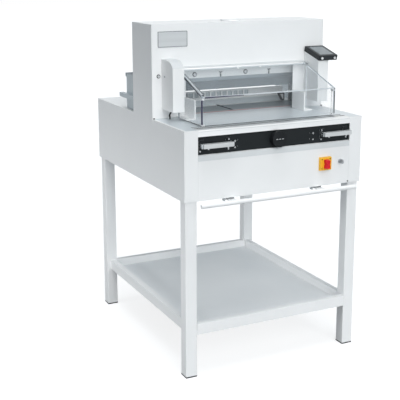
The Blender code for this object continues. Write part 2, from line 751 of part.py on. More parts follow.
def make_table():
    front = PANEL_SHEET + GAP
    nose = NOSE_DEPTH + GAP
    nose_half = FRONT_HALF + GAP
    outline = ((-TABLE_HALF, front), (-nose_half, front), (-nose_half, nose), (nose_half, nose),
               (nose_half, front), (TABLE_HALF, front), (TABLE_HALF, TABLE_JOINT), (-TABLE_HALF, TABLE_JOINT))
    middle = TABLE_HEIGHT - TABLE_THICK / 2
    table = plate("table_front", outline, TABLE_THICK, "XY", middle, STEEL)
    half_stick = STICK_WIDTH / 2
    floor = TABLE_HEIGHT - STICK_HEIGHT
    cut(table, box("stick_groove", (-STICK_HALF - GAP, CUT_LINE - half_stick - GAP, floor - GAP),
                   (STICK_HALF + GAP, CUT_LINE + half_stick + GAP, TABLE_HEIGHT + OVERRUN)))
    reach = ROD_WIDTH / 2 + ROD_SLOT_MARGIN
    cut(table, box("rod_slot", (ROD_X - STROKE_SIDE - reach, CARRIER_BACK - ROD_THICK - ROD_SLOT_MARGIN,
                                TABLE_UNDER - OVERRUN),
                   (ROD_X + reach, CARRIER_BACK + ROD_SLOT_MARGIN, TABLE_HEIGHT + OVERRUN)))
    box("cutting_stick", (-STICK_HALF, CUT_LINE - half_stick, floor),
        (STICK_HALF, CUT_LINE + half_stick, TABLE_HEIGHT), RED_STICK)
    rear = box("table_rear", (-TABLE_HALF, TABLE_JOINT + GAP, TABLE_UNDER),
               (TABLE_HALF, BODY_DEPTH, TABLE_HEIGHT), WHITE)
    cut(rear, box("spindle_slot", (-SPINDLE_SLOT / 2, SLOT_FRONT, TABLE_UNDER - OVERRUN),
                  (SPINDLE_SLOT / 2, SLOT_BACK, TABLE_HEIGHT + OVERRUN)))
    hanger = box("spindle_hanger", (-NUT_HALF, SLOT_FRONT - OVERRUN / 2, GAUGE_SPINDLE_Z - NUT_HALF),
                 (NUT_HALF, SLOT_FRONT + SPINDLE_BLOCK_DEPTH, TABLE_UNDER + OVERRUN / 2))
    join(rear, hanger)
    hole = GAUGE_SPINDLE_RADIUS + THREAD_PLAY
    cut(rear, rod("hanger_bore", (0, SLOT_FRONT - OVERRUN, GAUGE_SPINDLE_Z),
                  (0, SLOT_FRONT + SPINDLE_BLOCK_DEPTH + OVERRUN, GAUGE_SPINDLE_Z), hole, sides=PIN_SIDES))


def make_housing():
    bottom = TABLE_HEIGHT + GAP
    front = box("housing_front", (-INNER_HALF, HOUSING_FRONT, bottom),
                (INNER_HALF, HOUSING_FRONT + HOUSING_SHEET, HOUSING_TOP), WHITE)
    join(front, box("housing_lid", (-INNER_HALF, HOUSING_FRONT, HOUSING_TOP - HOUSING_SHEET),
                    (INNER_HALF, HOUSING_BACK, HOUSING_TOP)))
    cut(front, box("front_opening", (-OPENING_HALF, HOUSING_FRONT - OVERRUN, bottom - OVERRUN),
                   (OPENING_HALF, HOUSING_FRONT + HOUSING_SHEET + OVERRUN, OPENING_TOP)))
    rail_half = POST_INNER - GAP
    join(front, box("hinge_rail", (-rail_half, HOUSING_FRONT - RAIL_REACH, OPENING_TOP),
                    (rail_half, HOUSING_FRONT + HOUSING_SHEET / 2, OPENING_TOP + RAIL_HEIGHT)))
    cut(front, rod("cap_hole", (0, CAP_CENTRE, HOUSING_TOP - HOUSING_SHEET - OVERRUN),
                   (0, CAP_CENTRE, HOUSING_TOP + OVERRUN), CAP_PLUG_RADIUS + GAP))
    back = box("housing_back", (-INNER_HALF, HOUSING_BACK - HOUSING_SHEET, bottom),
               (INNER_HALF, HOUSING_BACK, HOUSING_TOP - HOUSING_SHEET - GAP), WHITE)
    cut(back, box("back_opening",
                  (-REAR_OPENING_HALF, HOUSING_BACK - HOUSING_SHEET - OVERRUN, bottom - OVERRUN),
                  (REAR_OPENING_HALF, HOUSING_BACK + OVERRUN, REAR_OPENING_TOP)))
    rim = arc((CAP_RADIUS - CAP_ROUND, CAP_HEIGHT - CAP_ROUND), CAP_ROUND, 90, 0, POST_ARC_STEPS)
    profile = [(0, CAP_HEIGHT)] + rim + [(CAP_RADIUS, 0), (CAP_PLUG_RADIUS, 0),
                                         (CAP_PLUG_RADIUS, -CAP_PLUG_DEPTH), (0, -CAP_PLUG_DEPTH)]
    turned("top_cap", profile, (0, CAP_CENTRE, HOUSING_TOP + GAP), WHITE)


def display_under(y):
    """Height of the display's underside at a depth y."""
    back_bottom = DISPLAY_BACK_TOP - DISPLAY_THICK / math.cos(DISPLAY_TILT)
    return back_bottom - (DISPLAY_BACK - y) * math.tan(DISPLAY_TILT)


def make_post(side, hand):
    """A hollow cover, open towards the housing, that holds one end of the guard's hinge."""
    back = HOUSING_FRONT - GAP
    if side < 0:
        drop = POST_BACK_TOP - POST_FRONT_TOP
        run = back - POST_FLAT - POST_FRONT
        radius = (run * run + drop * drop) / (2 * drop)
        sweep = math.degrees(math.asin(run / radius))
        top = arc((back - POST_FLAT, POST_BACK_TOP - radius), radius, 90, 90 + sweep, POST_ARC_STEPS)
        outline = [(back, POST_BOTTOM), (back, POST_BACK_TOP)] + top + [(POST_FRONT, POST_BOTTOM)]
    else:
        outline = [(back, POST_BOTTOM), (back, display_under(back) - GAP),
                   (POST_FRONT, display_under(POST_FRONT) - GAP), (POST_FRONT, POST_BOTTOM)]
    middle = side * (POST_INNER + POST_WIDTH / 2)
    post = plate("post_" + hand, outline, POST_WIDTH, "YZ", middle, WHITE)
    low, high = mirrored(side, (POST_INNER + POST_WALL, POST_FRONT + POST_WALL, POST_BOTTOM + POST_WALL),
                         (POST_INNER + POST_WIDTH - POST_WALL, back + OVERRUN, POST_FRONT_TOP - POST_WALL))
    cut(post, box("post_hollow_" + hand, low, high))
    ends = sorted((side * (POST_INNER - OVERRUN), side * (POST_INNER + POST_WALL + OVERRUN)))
    cut(post, rod("hinge_bore_" + hand, (ends[0], HINGE_Y, HINGE_Z), (ends[1], HINGE_Y, HINGE_Z),
                  HINGE_RADIUS + THREAD_PLAY, sides=PIN_SIDES))


def make_guard():
    """The clear guard swings up about the bar between the two posts."""
    hinge = pivot("guard_hinge", (0, HINGE_Y, HINGE_Z))
    reach = POST_INNER + HINGE_PIN_REACH
    rod("guard_bar", (-reach, HINGE_Y, HINGE_Z), (reach, HINGE_Y, HINGE_Z), HINGE_RADIUS, ALUMINIUM,
        hinge, sides=PIN_SIDES)
    bottom = TABLE_HEIGHT + GUARD_BOTTOM_GAP
    sheet = GUARD_SHEET
    inner = GUARD_HALF - sheet - GAP
    seat = HINGE_Y - HINGE_RADIUS - GAP
    slope = Vector((seat - GUARD_FRONT, HINGE_Z - GUARD_FRONT_TOP)).normalized()
    across = Vector((slope.y, -slope.x)) * sheet
    front_top = Vector((GUARD_FRONT, GUARD_FRONT_TOP))
    back_top = Vector((seat, HINGE_Z))
    box("guard_front", (-inner, GUARD_FRONT, bottom),
        (inner, GUARD_FRONT + sheet, GUARD_FRONT_TOP - sheet - GAP), CLEAR, hinge)
    outline = (tuple(front_top), tuple(back_top), tuple(back_top + across), tuple(front_top + across))
    plate("guard_top", outline, 2 * inner, "YZ", 0, CLEAR, hinge)
    side_outline = ((GUARD_FRONT, bottom), (GUARD_BACK, bottom), (GUARD_BACK, GUARD_BACK_TOP),
                    (GUARD_FRONT, GUARD_FRONT_TOP))
    for side, hand in ((-1, "left"), (1, "right")):
        plate("guard_side_" + hand, side_outline, sheet, "YZ", side * (GUARD_HALF - sheet / 2), CLEAR, hinge)


def make_gate():
    """The cast gate over the table, with the blocks that guide the knife carrier."""
    bottom = TABLE_HEIGHT + GAP
    outer = FRAME_INNER + FRAME_WIDTH
    gate = box("gate_frame", (-outer, FRAME_FRONT, bottom), (outer, FRAME_BACK, FRAME_TOP), CAST_GREY)
    cut(gate, box("gate_opening", (-FRAME_INNER, FRAME_FRONT - OVERRUN, bottom - OVERRUN),
                  (FRAME_INNER, FRAME_BACK + OVERRUN, FRONT_BEAM_BOTTOM)))
    cut(gate, box("gate_back", (-FRAME_INNER, FRONT_BEAM_BACK, FRONT_BEAM_BOTTOM - OVERRUN),
                  (FRAME_INNER, FRAME_BACK + OVERRUN, FRAME_TOP + OVERRUN)))
    block_back = CARRIER_BACK - REBATE_DEPTH - GAP
    for side, hand in ((-1, "left"), (1, "right")):
        block = box("guide_block_" + hand,
                    (side * BLOCK_X - BLOCK_WIDTH / 2, FRONT_BEAM_BACK - OVERRUN, BLOCK_Z - BLOCK_LENGTH / 2),
                    (side * BLOCK_X + BLOCK_WIDTH / 2, block_back, BLOCK_Z + BLOCK_LENGTH / 2))
        block.rotation_euler = (0, SLANT, 0)
        join(gate, block)
    beam_half = FRAME_INNER - GAP
    rear = box("rear_beam", (-beam_half, REAR_BEAM_FRONT, REAR_BEAM_BOTTOM),
               (beam_half, FRAME_BACK, FRAME_TOP), CAST_GREY)
    join(rear, box("spindle_bearing", (-BEARING_HALF, CLAMP_FRONT, BEARING_BOTTOM),
                   (BEARING_HALF, REAR_BEAM_FRONT + OVERRUN, FRAME_TOP)))
    hole = CLAMP_SPINDLE_RADIUS + THREAD_PLAY
    cut(rear, rod("bearing_bore", (0, CLAMP_AXIS_Y, BEARING_BOTTOM - OVERRUN),
                  (0, CLAMP_AXIS_Y, FRAME_TOP + OVERRUN), hole, sides=PIN_SIDES))


def make_knife():
    """The carrier slides down and to the left along its guide blocks and takes the knife with it."""
    slide = pivot("knife_slide", (KNIFE_X, CUT_LINE, KNIFE_EDGE))
    carrier = box("knife_carrier", (-CARRIER_LEFT, CARRIER_FRONT, CARRIER_BOTTOM),
                  (CARRIER_RIGHT, CARRIER_BACK, CARRIER_TOP), STEEL_GREY, slide)
    rebate = CARRIER_BACK - REBATE_DEPTH
    cut(carrier, box("knife_rebate", (-CARRIER_LEFT - OVERRUN, rebate, CARRIER_BOTTOM - OVERRUN),
                     (CARRIER_RIGHT + OVERRUN, CARRIER_BACK + OVERRUN, KNIFE_EDGE + KNIFE_HEIGHT + GAP),
                     parent=slide))
    for side, hand in ((-1, "left"), (1, "right")):
        middle_x = side * BLOCK_X + STROKE_SIDE / 2
        middle_z = BLOCK_Z + STROKE_DOWN / 2
        half_long = (STROKE + BLOCK_LENGTH) / 2 + RUNNING
        half_wide = BLOCK_WIDTH / 2 + RUNNING
        slot = box("guide_slot_" + hand,
                   (middle_x - half_wide, CARRIER_FRONT - OVERRUN, middle_z - half_long),
                   (middle_x + half_wide, CARRIER_BACK + OVERRUN, middle_z + half_long), parent=slide)
        slot.rotation_euler = (0, SLANT, 0)
        cut(carrier, slot)
    front = CUT_LINE - KNIFE_THICK
    top = KNIFE_EDGE + KNIFE_HEIGHT
    outline = ((front, top), (front, KNIFE_EDGE + KNIFE_BEVEL), (CUT_LINE, KNIFE_EDGE), (CUT_LINE, top))
    plate("knife", outline, 2 * KNIFE_HALF, "YZ", KNIFE_X, BLADE_STEEL, slide)
    make_pull_rod(slide)


def make_pull_rod(slide):
    top = KNIFE_EDGE + KNIFE_HEIGHT
    half = ROD_WIDTH / 2
    outline = [(ROD_X + half, top), (ROD_X - half, top)]
    outline += arc((ROD_X, ROD_EYE_Z), half, 180, 360, POST_ARC_STEPS)
    pull = plate("pull_rod", outline, ROD_THICK, "XZ", CARRIER_BACK - ROD_THICK / 2, STEEL, slide)
    cut(pull, rod("rod_eye", (ROD_X, CARRIER_BACK - ROD_THICK - OVERRUN, ROD_EYE_Z),
                  (ROD_X, CARRIER_BACK + OVERRUN, ROD_EYE_Z), ROD_EYE_BORE, parent=slide, sides=PIN_SIDES))


def make_drive():
    """The crank under the table turns half a turn for one stroke of the knife."""
    spin = pivot("crank_axis", (CRANK_X, CRANK_FRONT, CRANK_Z))
    back = CRANK_FRONT + CRANK_THICK
    lean = math.degrees(SLANT)
    arm_points = arc((CRANK_X, CRANK_Z), CRANK_HUB, 180 - lean, 360 - lean, 2 * POST_ARC_STEPS)
    arm_points += arc((ROD_X, ROD_EYE_Z), CRANK_END, -lean, 180 - lean, POST_ARC_STEPS)
    arm = plate("crank_arm", arm_points, CRANK_THICK - CRANK_PIN_LENGTH, "XZ",
                (CRANK_FRONT + CRANK_PIN_LENGTH + back) / 2, STEEL, spin)
    join(arm, rod("crank_pin", (ROD_X, CRANK_FRONT, ROD_EYE_Z), (ROD_X, back - CRANK_PIN_LENGTH, ROD_EYE_Z),
                  CRANK_PIN, parent=spin, sides=PIN_SIDES))
    join(arm, rod("crank_shaft", (CRANK_X, CRANK_FRONT + CRANK_THICK / 2, CRANK_Z),
                  (CRANK_X, back + SHAFT_LENGTH, CRANK_Z), SHAFT_RADIUS, parent=spin))
    face = back + RUNNING
    low = CHASSIS_TOP + GAP
    left = CRANK_X - GEARBOX_WIDTH / 2
    gearbox = box("gearmotor", (left, face, low), (left + GEARBOX_WIDTH, face + GEARBOX_DEPTH, GEARBOX_TOP),
                  CAST_GREY)
    motor_y = face + GEARBOX_DEPTH / 2
    join(gearbox, rod("motor_can", (left - MOTOR_LENGTH, motor_y, CRANK_Z),
                      (left + OVERRUN, motor_y, CRANK_Z), MOTOR_RADIUS))
    cut(gearbox, rod("gearbox_bore", (CRANK_X, face - OVERRUN, CRANK_Z),
                     (CRANK_X, back + SHAFT_LENGTH + OVERRUN, CRANK_Z), SHAFT_RADIUS + THREAD_PLAY))


def make_clamp():
    """The clamp presses the stack behind the knife; its spindle turns in its middle."""
    slide = pivot("clamp_slide", (0, CLAMP_AXIS_Y, CLAMP_BOTTOM))
    half = FRAME_INNER - RUNNING
    clamp = box("clamp_bar", (-half, CLAMP_FRONT, CLAMP_BOTTOM),
                (half, CLAMP_BACK, CLAMP_BOTTOM + CLAMP_HEIGHT), CAST_GREY, slide)
    join(clamp, box("clamp_nut", (-BOSS_HALF, CLAMP_FRONT, CLAMP_BOTTOM + CLAMP_HEIGHT / 2),
                    (BOSS_HALF, CLAMP_BACK, CLAMP_BOTTOM + CLAMP_HEIGHT + BOSS_HEIGHT), parent=slide))
    cut(clamp, rod("nut_bore", (0, CLAMP_AXIS_Y, CLAMP_BOTTOM - OVERRUN),
                   (0, CLAMP_AXIS_Y, CLAMP_BOTTOM + CLAMP_HEIGHT + BOSS_HEIGHT + OVERRUN),
                   CLAMP_SPINDLE_RADIUS + THREAD_PLAY, parent=slide, sides=PIN_SIDES))
    spin = pivot("clamp_spindle_axis", (0, CLAMP_AXIS_Y, CLAMP_SPINDLE_BOTTOM))
    rod("clamp_spindle", (0, CLAMP_AXIS_Y, CLAMP_SPINDLE_BOTTOM), (0, CLAMP_AXIS_Y, CLAMP_SPINDLE_TOP),
        CLAMP_SPINDLE_RADIUS, STEEL, spin, sides=PIN_SIDES)


def make_gauge():
    """The back gauge runs along the rear table on a carriage that reaches through the slot."""
    slide = pivot("gauge_slide", (0, GAUGE_FRONT, TABLE_HEIGHT))
    bottom = TABLE_HEIGHT + GAP
    back = GAUGE_FRONT + GAUGE_THICK
    face = box("gauge_face", (-GAUGE_HALF, GAUGE_FRONT, bottom), (GAUGE_HALF, back, GAUGE_TOP),
               GAUGE_GREY, slide)
    for side, hand in ((-1, "left"), (1, "right")):
        low, high = mirrored(side, (GAUGE_HALF - GAUGE_END_WIDTH, back - GAUGE_THICK / 2, bottom),
                             (GAUGE_HALF, back + GAUGE_END_DEPTH, GAUGE_TOP))
        join(face, box("gauge_end_" + hand, low, high, parent=slide))
    for index in range(WINDOW_COUNT):
        right = WINDOW_RIGHT - index * WINDOW_PITCH
        top = GAUGE_TOP - WINDOW_TOP_GAP
        cut(face, box("gauge_window_%d" % index,
                      (right - WINDOW_WIDTH, GAUGE_FRONT - OVERRUN, top - WINDOW_HEIGHT),
                      (right, GAUGE_FRONT + WINDOW_DEPTH, top), parent=slide))
    near = back + GAP
    far = near + CARRIAGE_DEPTH
    carriage = box("gauge_carriage", (-CARRIAGE_HALF, near, bottom),
                   (CARRIAGE_HALF, far, bottom + CARRIAGE_HEIGHT), CAST_GREY, slide)
    join(carriage, box("carriage_neck", (-NECK_WIDTH / 2, near, GAUGE_SPINDLE_Z),
                       (NECK_WIDTH / 2, far, bottom + CARRIAGE_HEIGHT / 2), parent=slide))
    join(carriage, box("carriage_nut", (-NUT_HALF, near, GAUGE_SPINDLE_Z - NUT_HEIGHT / 2),
                       (NUT_HALF, far, GAUGE_SPINDLE_Z + NUT_HEIGHT / 2), parent=slide))
    cut(carriage, rod("carriage_bore", (0, near - OVERRUN, GAUGE_SPINDLE_Z),
                      (0, far + OVERRUN, GAUGE_SPINDLE_Z), GAUGE_SPINDLE_RADIUS + THREAD_PLAY, parent=slide,
                      sides=PIN_SIDES))
    spin = pivot("gauge_spindle_axis", (0, GAUGE_SPINDLE_FRONT, GAUGE_SPINDLE_Z))
    rod("gauge_spindle", (0, GAUGE_SPINDLE_FRONT, GAUGE_SPINDLE_Z),
        (0, SLOT_BACK + SPINDLE_BLOCK_DEPTH, GAUGE_SPINDLE_Z), GAUGE_SPINDLE_RADIUS, STEEL, spin,
        sides=PIN_SIDES)
    near = SLOT_BACK + SPINDLE_BLOCK_DEPTH / 2
    far = near + GAUGE_MOTOR_DEPTH
    side = GAUGE_MOTOR_HALF
    motor = box("gauge_motor", (-side, near, TABLE_UNDER - GAP - 2 * side),
                (side, far, TABLE_UNDER - GAP), BLACK)
    cut(motor, rod("motor_bore", (0, near - OVERRUN, GAUGE_SPINDLE_Z),
                   (0, SLOT_BACK + SPINDLE_BLOCK_DEPTH + RUNNING, GAUGE_SPINDLE_Z),
                   GAUGE_SPINDLE_RADIUS + THREAD_PLAY, sides=PIN_SIDES))


def make_lay(side, hand):
    """A side lay: an upright strip with a foot on the table."""
    low_z = TABLE_HEIGHT + GAP
    back = HOUSING_FRONT - GAP
    inner = OPENING_HALF
    outer = inner + LAY_THICK
    low, high = mirrored(side, (inner, LAY_FRONT, low_z), (outer, back, low_z + LAY_HEIGHT))
    lay = box("side_lay_" + hand, low, high, WHITE)
    low, high = mirrored(side, (inner + LAY_THICK / 2, LAY_FRONT, low_z),
                         (outer + LAY_FOOT, back, low_z + LAY_FOOT_THICK))
    join(lay, box("lay_foot_" + hand, low, high))


def make_rear_guard():
    near = HOUSING_BACK + GAP
    outer = HALF - CHEEK_INSET
    for side, hand in ((-1, "left"), (1, "right")):
        low, high = mirrored(side, (outer - CHEEK_THICK, near, TABLE_HEIGHT + GAP),
                             (outer, CHEEK_BACK, CHEEK_TOP))
        cheek = box("rear_cheek_" + hand, low, high, STEEL_GREY)
        low, high = mirrored(side, (outer - CHEEK_THICK / 2, near, REAR_RAIL_BOTTOM),
                             (HALF, REAR_RAIL_BACK, REAR_RAIL_TOP))
        join(cheek, box("rear_rail_" + hand, low, high))
    low_z = CHEEK_TOP + GAP
    hood = box("rear_hood", (-outer, near, low_z), (outer, HOOD_BACK, low_z + HOOD_SHEET), CLEAR)
    join(hood, box("hood_lip", (-outer, HOOD_BACK - HOOD_SHEET, low_z - HOOD_DROP),
                   (outer, HOOD_BACK, low_z + HOOD_SHEET / 2)))


def make_knob():
    spin = pivot("knob_axis", (KNOB_X, 0, KNOB_Z))
    seat = PANEL_RECESS - GAP
    rim = arc((KNOB_RADIUS - KNOB_ROUND, KNOB_DEPTH - KNOB_ROUND), KNOB_ROUND, 90, 0, POST_ARC_STEPS)
    stub = seat - KNOB_DEPTH
    profile = [(0, KNOB_DEPTH)] + rim + [(KNOB_RADIUS, 0), (KNOB_SHAFT_RADIUS, 0),
                                         (KNOB_SHAFT_RADIUS, -PANEL_THICK), (0, -PANEL_THICK)]
    turned("jog_knob", profile, (KNOB_X, stub + KNOB_DEPTH, KNOB_Z), BLACK, spin, lie=(math.pi / 2, 0, 0))


def make_activator(side, hand):
    """One of the two release levers: a bar hinged between two ears on the panel."""
    base_back = PANEL_RECESS - GAP
    base_front = base_back - ACTIVATOR_BASE_THICK
    axis_y = -EAR_REACH / 2
    low_z = ACTIVATOR_Z - ACTIVATOR_BASE_HEIGHT / 2
    high_z = ACTIVATOR_Z + ACTIVATOR_BASE_HEIGHT / 2
    ends = ((ACTIVATOR_IN, ACTIVATOR_IN + EAR_THICK, ACTIVATOR_IN + ACTIVATOR_BASE_WIDTH),
            (ACTIVATOR_OUT, ACTIVATOR_OUT - EAR_THICK, ACTIVATOR_OUT - ACTIVATOR_BASE_WIDTH))
    web = WEB_HEIGHT / 2
    low, high = mirrored(side, (ACTIVATOR_IN, base_front, ACTIVATOR_Z - web),
                         (ACTIVATOR_OUT, base_back, ACTIVATOR_Z + web))
    bracket = box("activator_bracket_" + hand, low, high, CHROME)
    for edge, (outer, ear, base) in enumerate(ends):
        near, far = sorted((outer, base))
        low, high = mirrored(side, (near, base_front, low_z), (far, base_back, high_z))
        join(bracket, box("activator_base_%s_%d" % (hand, edge), low, high))
        near, far = sorted((outer, ear))
        low, high = mirrored(side, (near, -EAR_REACH, ACTIVATOR_Z - EAR_HEIGHT / 2),
                             (far, base_back - ACTIVATOR_BASE_THICK / 2, ACTIVATOR_Z + EAR_HEIGHT / 2))
        join(bracket, box("activator_ear_%s_%d" % (hand, edge), low, high))
        reach = sorted((side * (near - OVERRUN), side * (far + OVERRUN)))
        cut(bracket, rod("ear_bore_%s_%d" % (hand, edge), (reach[0], axis_y, ACTIVATOR_Z),
                         (reach[1], axis_y, ACTIVATOR_Z), EAR_BORE + THREAD_PLAY, sides=PIN_SIDES))
    hinge = pivot("activator_axis_" + hand, (side * (ACTIVATOR_IN + ACTIVATOR_OUT) / 2, axis_y, ACTIVATOR_Z))
    near = ACTIVATOR_IN + EAR_THICK + RUNNING
    far = ACTIVATOR_OUT - EAR_THICK - RUNNING
    low, high = mirrored(side, (near, -BAR_FRONT, ACTIVATOR_Z - BAR_HEIGHT / 2),
                         (far, axis_y + EAR_BORE, ACTIVATOR_Z + BAR_HEIGHT / 2))
    bar = bevel(box("activator_bar_" + hand, low, high, ALUMINIUM, hinge), NUB_RADIUS / 2)
    pin = sorted((side * (ACTIVATOR_IN + GAP), side * (ACTIVATOR_OUT - GAP)))
    join(bar, rod("activator_pin_" + hand, (pin[0], axis_y, ACTIVATOR_Z), (pin[1], axis_y, ACTIVATOR_Z),
                  EAR_BORE, parent=hinge, sides=PIN_SIDES))
    for edge, x in enumerate((near + NUB_INSET, far - NUB_INSET)):
        tip = ACTIVATOR_Z - BAR_HEIGHT / 2 - NUB_LENGTH
        nub_y = NUB_SETBACK - BAR_FRONT
        join(bar, rod("nub_%s_%d" % (hand, edge), (side * x, nub_y, tip), (side * x, nub_y, ACTIVATOR_Z),
                      NUB_RADIUS, parent=hinge, sides=PIN_SIDES))


def make_switch():
    """The main switch: a square plate and a handle that turns a quarter."""
    half = SWITCH_SIDE / 2
    front = -GAP - SWITCH_THICK
    base = box("switch_plate", (SWITCH_X - half, front, SWITCH_Z - half),
               (SWITCH_X + half, -GAP, SWITCH_Z + half), YELLOW)
    bevel(base, SWITCH_EDGE)
    bore = HANDLE_HUB / 2
    cut(base, rod("plate_bore", (SWITCH_X, front - OVERRUN, SWITCH_Z), (SWITCH_X, OVERRUN, SWITCH_Z), bore))
    turn = pivot("switch_axis", (SWITCH_X, front, SWITCH_Z))
    near = front - RUNNING
    wide = HANDLE_WIDTH / 2
    tall = HANDLE_HEIGHT / 2
    handle = box("switch_handle", (SWITCH_X - wide, near - HANDLE_DEPTH, SWITCH_Z - tall),
                 (SWITCH_X + wide, near, SWITCH_Z + tall), RED, turn)
    bevel(handle, SWITCH_EDGE)
    join(handle, rod("handle_hub", (SWITCH_X, near - HANDLE_DEPTH / 2, SWITCH_Z),
                     (SWITCH_X, front + HANDLE_HUB_DEPTH, SWITCH_Z), bore - THREAD_PLAY, parent=turn))


def make_key():
    """The lock's core turns with its key."""
    turn = pivot("key_axis", (KEY_X, 0, KEY_Z))
    core = rod("key_switch", (KEY_X, -GAP - LOCK_DEPTH, KEY_Z), (KEY_X, -GAP, KEY_Z), LOCK_RADIUS, CHROME,
               turn)
    join(core, rod("lock_shank", (KEY_X, -LOCK_DEPTH / 2, KEY_Z), (KEY_X, LOCK_SHANK_DEPTH, KEY_Z),
                   LOCK_SHANK_RADIUS, parent=turn))
    join(core, box("key_blade", (KEY_X - KEY_THICK / 2, -LOCK_DEPTH - KEY_REACH, KEY_Z - KEY_HEIGHT / 2),
                   (KEY_X + KEY_THICK / 2, -LOCK_DEPTH / 2 - GAP, KEY_Z + KEY_HEIGHT / 2), parent=turn))
    notch = KEY_HEIGHT / 2 - KEY_WIDTH / 2
    for side, hand in ((-1, "low"), (1, "high")):
        edges = sorted((KEY_Z + side * (KEY_HEIGHT / 2 - notch), KEY_Z + side * (KEY_HEIGHT / 2 + OVERRUN)))
        cut(core, box("key_shoulder_" + hand, (KEY_X - KEY_THICK, -LOCK_DEPTH - KEY_REACH / 2, edges[0]),
                      (KEY_X + KEY_THICK, -LOCK_DEPTH - GAP, edges[1]), parent=turn))


def display_point(along, up):
    """A point of the tilted display, measured forwards from its top back edge and up from its top."""
    y = DISPLAY_BACK - along * math.cos(DISPLAY_TILT) + up * -math.sin(DISPLAY_TILT)
    z = DISPLAY_BACK_TOP - along * math.sin(DISPLAY_TILT) + up * math.cos(DISPLAY_TILT)
    return y, z


def make_display():
    """The display leans towards the user on the right post, with two buttons in its front face."""
    middle = DISPLAY_INNER + DISPLAY_WIDTH / 2
    outline = (display_point(0, 0), display_point(DISPLAY_LENGTH, 0),
               display_point(DISPLAY_LENGTH, -DISPLAY_THICK), display_point(0, -DISPLAY_THICK))
    case = bevel(plate("display_case", outline, DISPLAY_WIDTH, "YZ", middle, BLACK), DISPLAY_EDGE)
    far = DISPLAY_LENGTH - SCREEN_END_MARGIN
    window = (display_point(SCREEN_END_MARGIN, OVERRUN), display_point(far, OVERRUN),
              display_point(far, -SCREEN_RECESS), display_point(SCREEN_END_MARGIN, -SCREEN_RECESS))
    cut(case, plate("screen_recess", window, DISPLAY_WIDTH - 2 * SCREEN_SIDE_MARGIN, "YZ", middle))
    for side, hand in ((-1, "left"), (1, "right")):
        x = middle + side * (DISPLAY_WIDTH / 2 - BUTTON_SIDE)
        level = -DISPLAY_THICK / 2
        well = display_point(DISPLAY_LENGTH - BUTTON_DEPTH, level)
        tip = display_point(DISPLAY_LENGTH + BUTTON_REACH, level)
        clear = display_point(DISPLAY_LENGTH + OVERRUN, level)
        cut(case, rod("button_well_" + hand, (x, *well), (x, *clear), BUTTON_RADIUS + BUTTON_PLAY,
                      sides=PIN_SIDES))
        press = pivot("button_axis_" + hand, (x, *tip))
        root = display_point(DISPLAY_LENGTH - BUTTON_DEPTH / 2, level)
        rod("display_button_" + hand, (x, *root), (x, *tip), BUTTON_RADIUS, OFF_WHITE, press,
            sides=PIN_SIDES)


def make_clamping_bar():
    """The bar under the front swings down on two brackets and moves the clamp by hand."""
    hinge = pivot("clamping_bar_axis", HINGE_LINE)
    bar = rod("clamping_bar", (-CLAMP_BAR_HALF, -CLAMP_BAR_Y, CLAMP_BAR_Z),
              (CLAMP_BAR_HALF, -CLAMP_BAR_Y, CLAMP_BAR_Z), CLAMP_BAR_RADIUS, WHITE, hinge, sides=PIN_SIDES)
    for side, hand in ((-1, "left"), (1, "right")):
        middle = side * BRACKET_X
        wide = BRACKET_BAR_WIDTH / 2
        slim = BRACKET_BODY_WIDTH / 2
        outline = ((middle - wide, -CLAMP_BAR_Y), (middle + wide, -CLAMP_BAR_Y), (middle + slim, 0),
                   (middle + slim, BRACKET_Y), (middle - slim, BRACKET_Y), (middle - slim, 0))
        join(bar, plate("bar_bracket_" + hand, outline, BRACKET_SHEET, "XY", CLAMP_BAR_Z, parent=hinge))
        pin = KNUCKLE_HALF + RUNNING + LUG_WIDTH
        for part, half, radius in (("knuckle", KNUCKLE_HALF, KNUCKLE_RADIUS), ("pin", pin, HINGE_PIN_RADIUS)):
            join(bar, rod("bar_%s_%s" % (part, hand), (middle - half, BRACKET_Y, CLAMP_BAR_Z),
                          (middle + half, BRACKET_Y, CLAMP_BAR_Z), radius, parent=hinge, sides=PIN_SIDES))


def make_lead():
    """The short lead between the left post's underside and the table."""
    curve = bpy.data.curves.new("post_lead", "CURVE")
    curve.dimensions = "3D"
    curve.bevel_depth = LEAD_RADIUS
    curve.bevel_resolution = LEAD_SIDES
    curve.use_fill_caps = True
    line = curve.splines.new("POLY")
    line.points.add(LEAD_POINTS - 1)
    top = POST_BOTTOM - GAP
    bottom = TABLE_HEIGHT + GAP
    for index, spot in enumerate(line.points):
        share = index / (LEAD_POINTS - 1)
        inner = min(max((share - LEAD_END_SHARE) / (1 - 2 * LEAD_END_SHARE), 0), 1)
        ease = inner * inner * (3 - 2 * inner)
        bow = LEAD_BOW * math.sin(math.pi * inner) ** 2
        y = LEAD_TOP_Y + (LEAD_BOTTOM_Y - LEAD_TOP_Y) * ease
        spot.co = (-LEAD_X - bow, y, top + (bottom - top) * share, 1)
    made = bpy.data.objects.new("post_lead", curve)
    made.parent = DATUM
    curve.materials.append(RUBBER)
    PARTS.objects.link(made)


for old in list(bpy.data.objects):
    bpy.data.objects.remove(old)

PARTS = collection("stack_paper_cutter")
CUTTERS = collection("cutters")
DATUM = bpy.data.objects.new("datum", None)
PARTS.objects.link(DATUM)
DATUM.location = (0, DATUM_Y, 0)

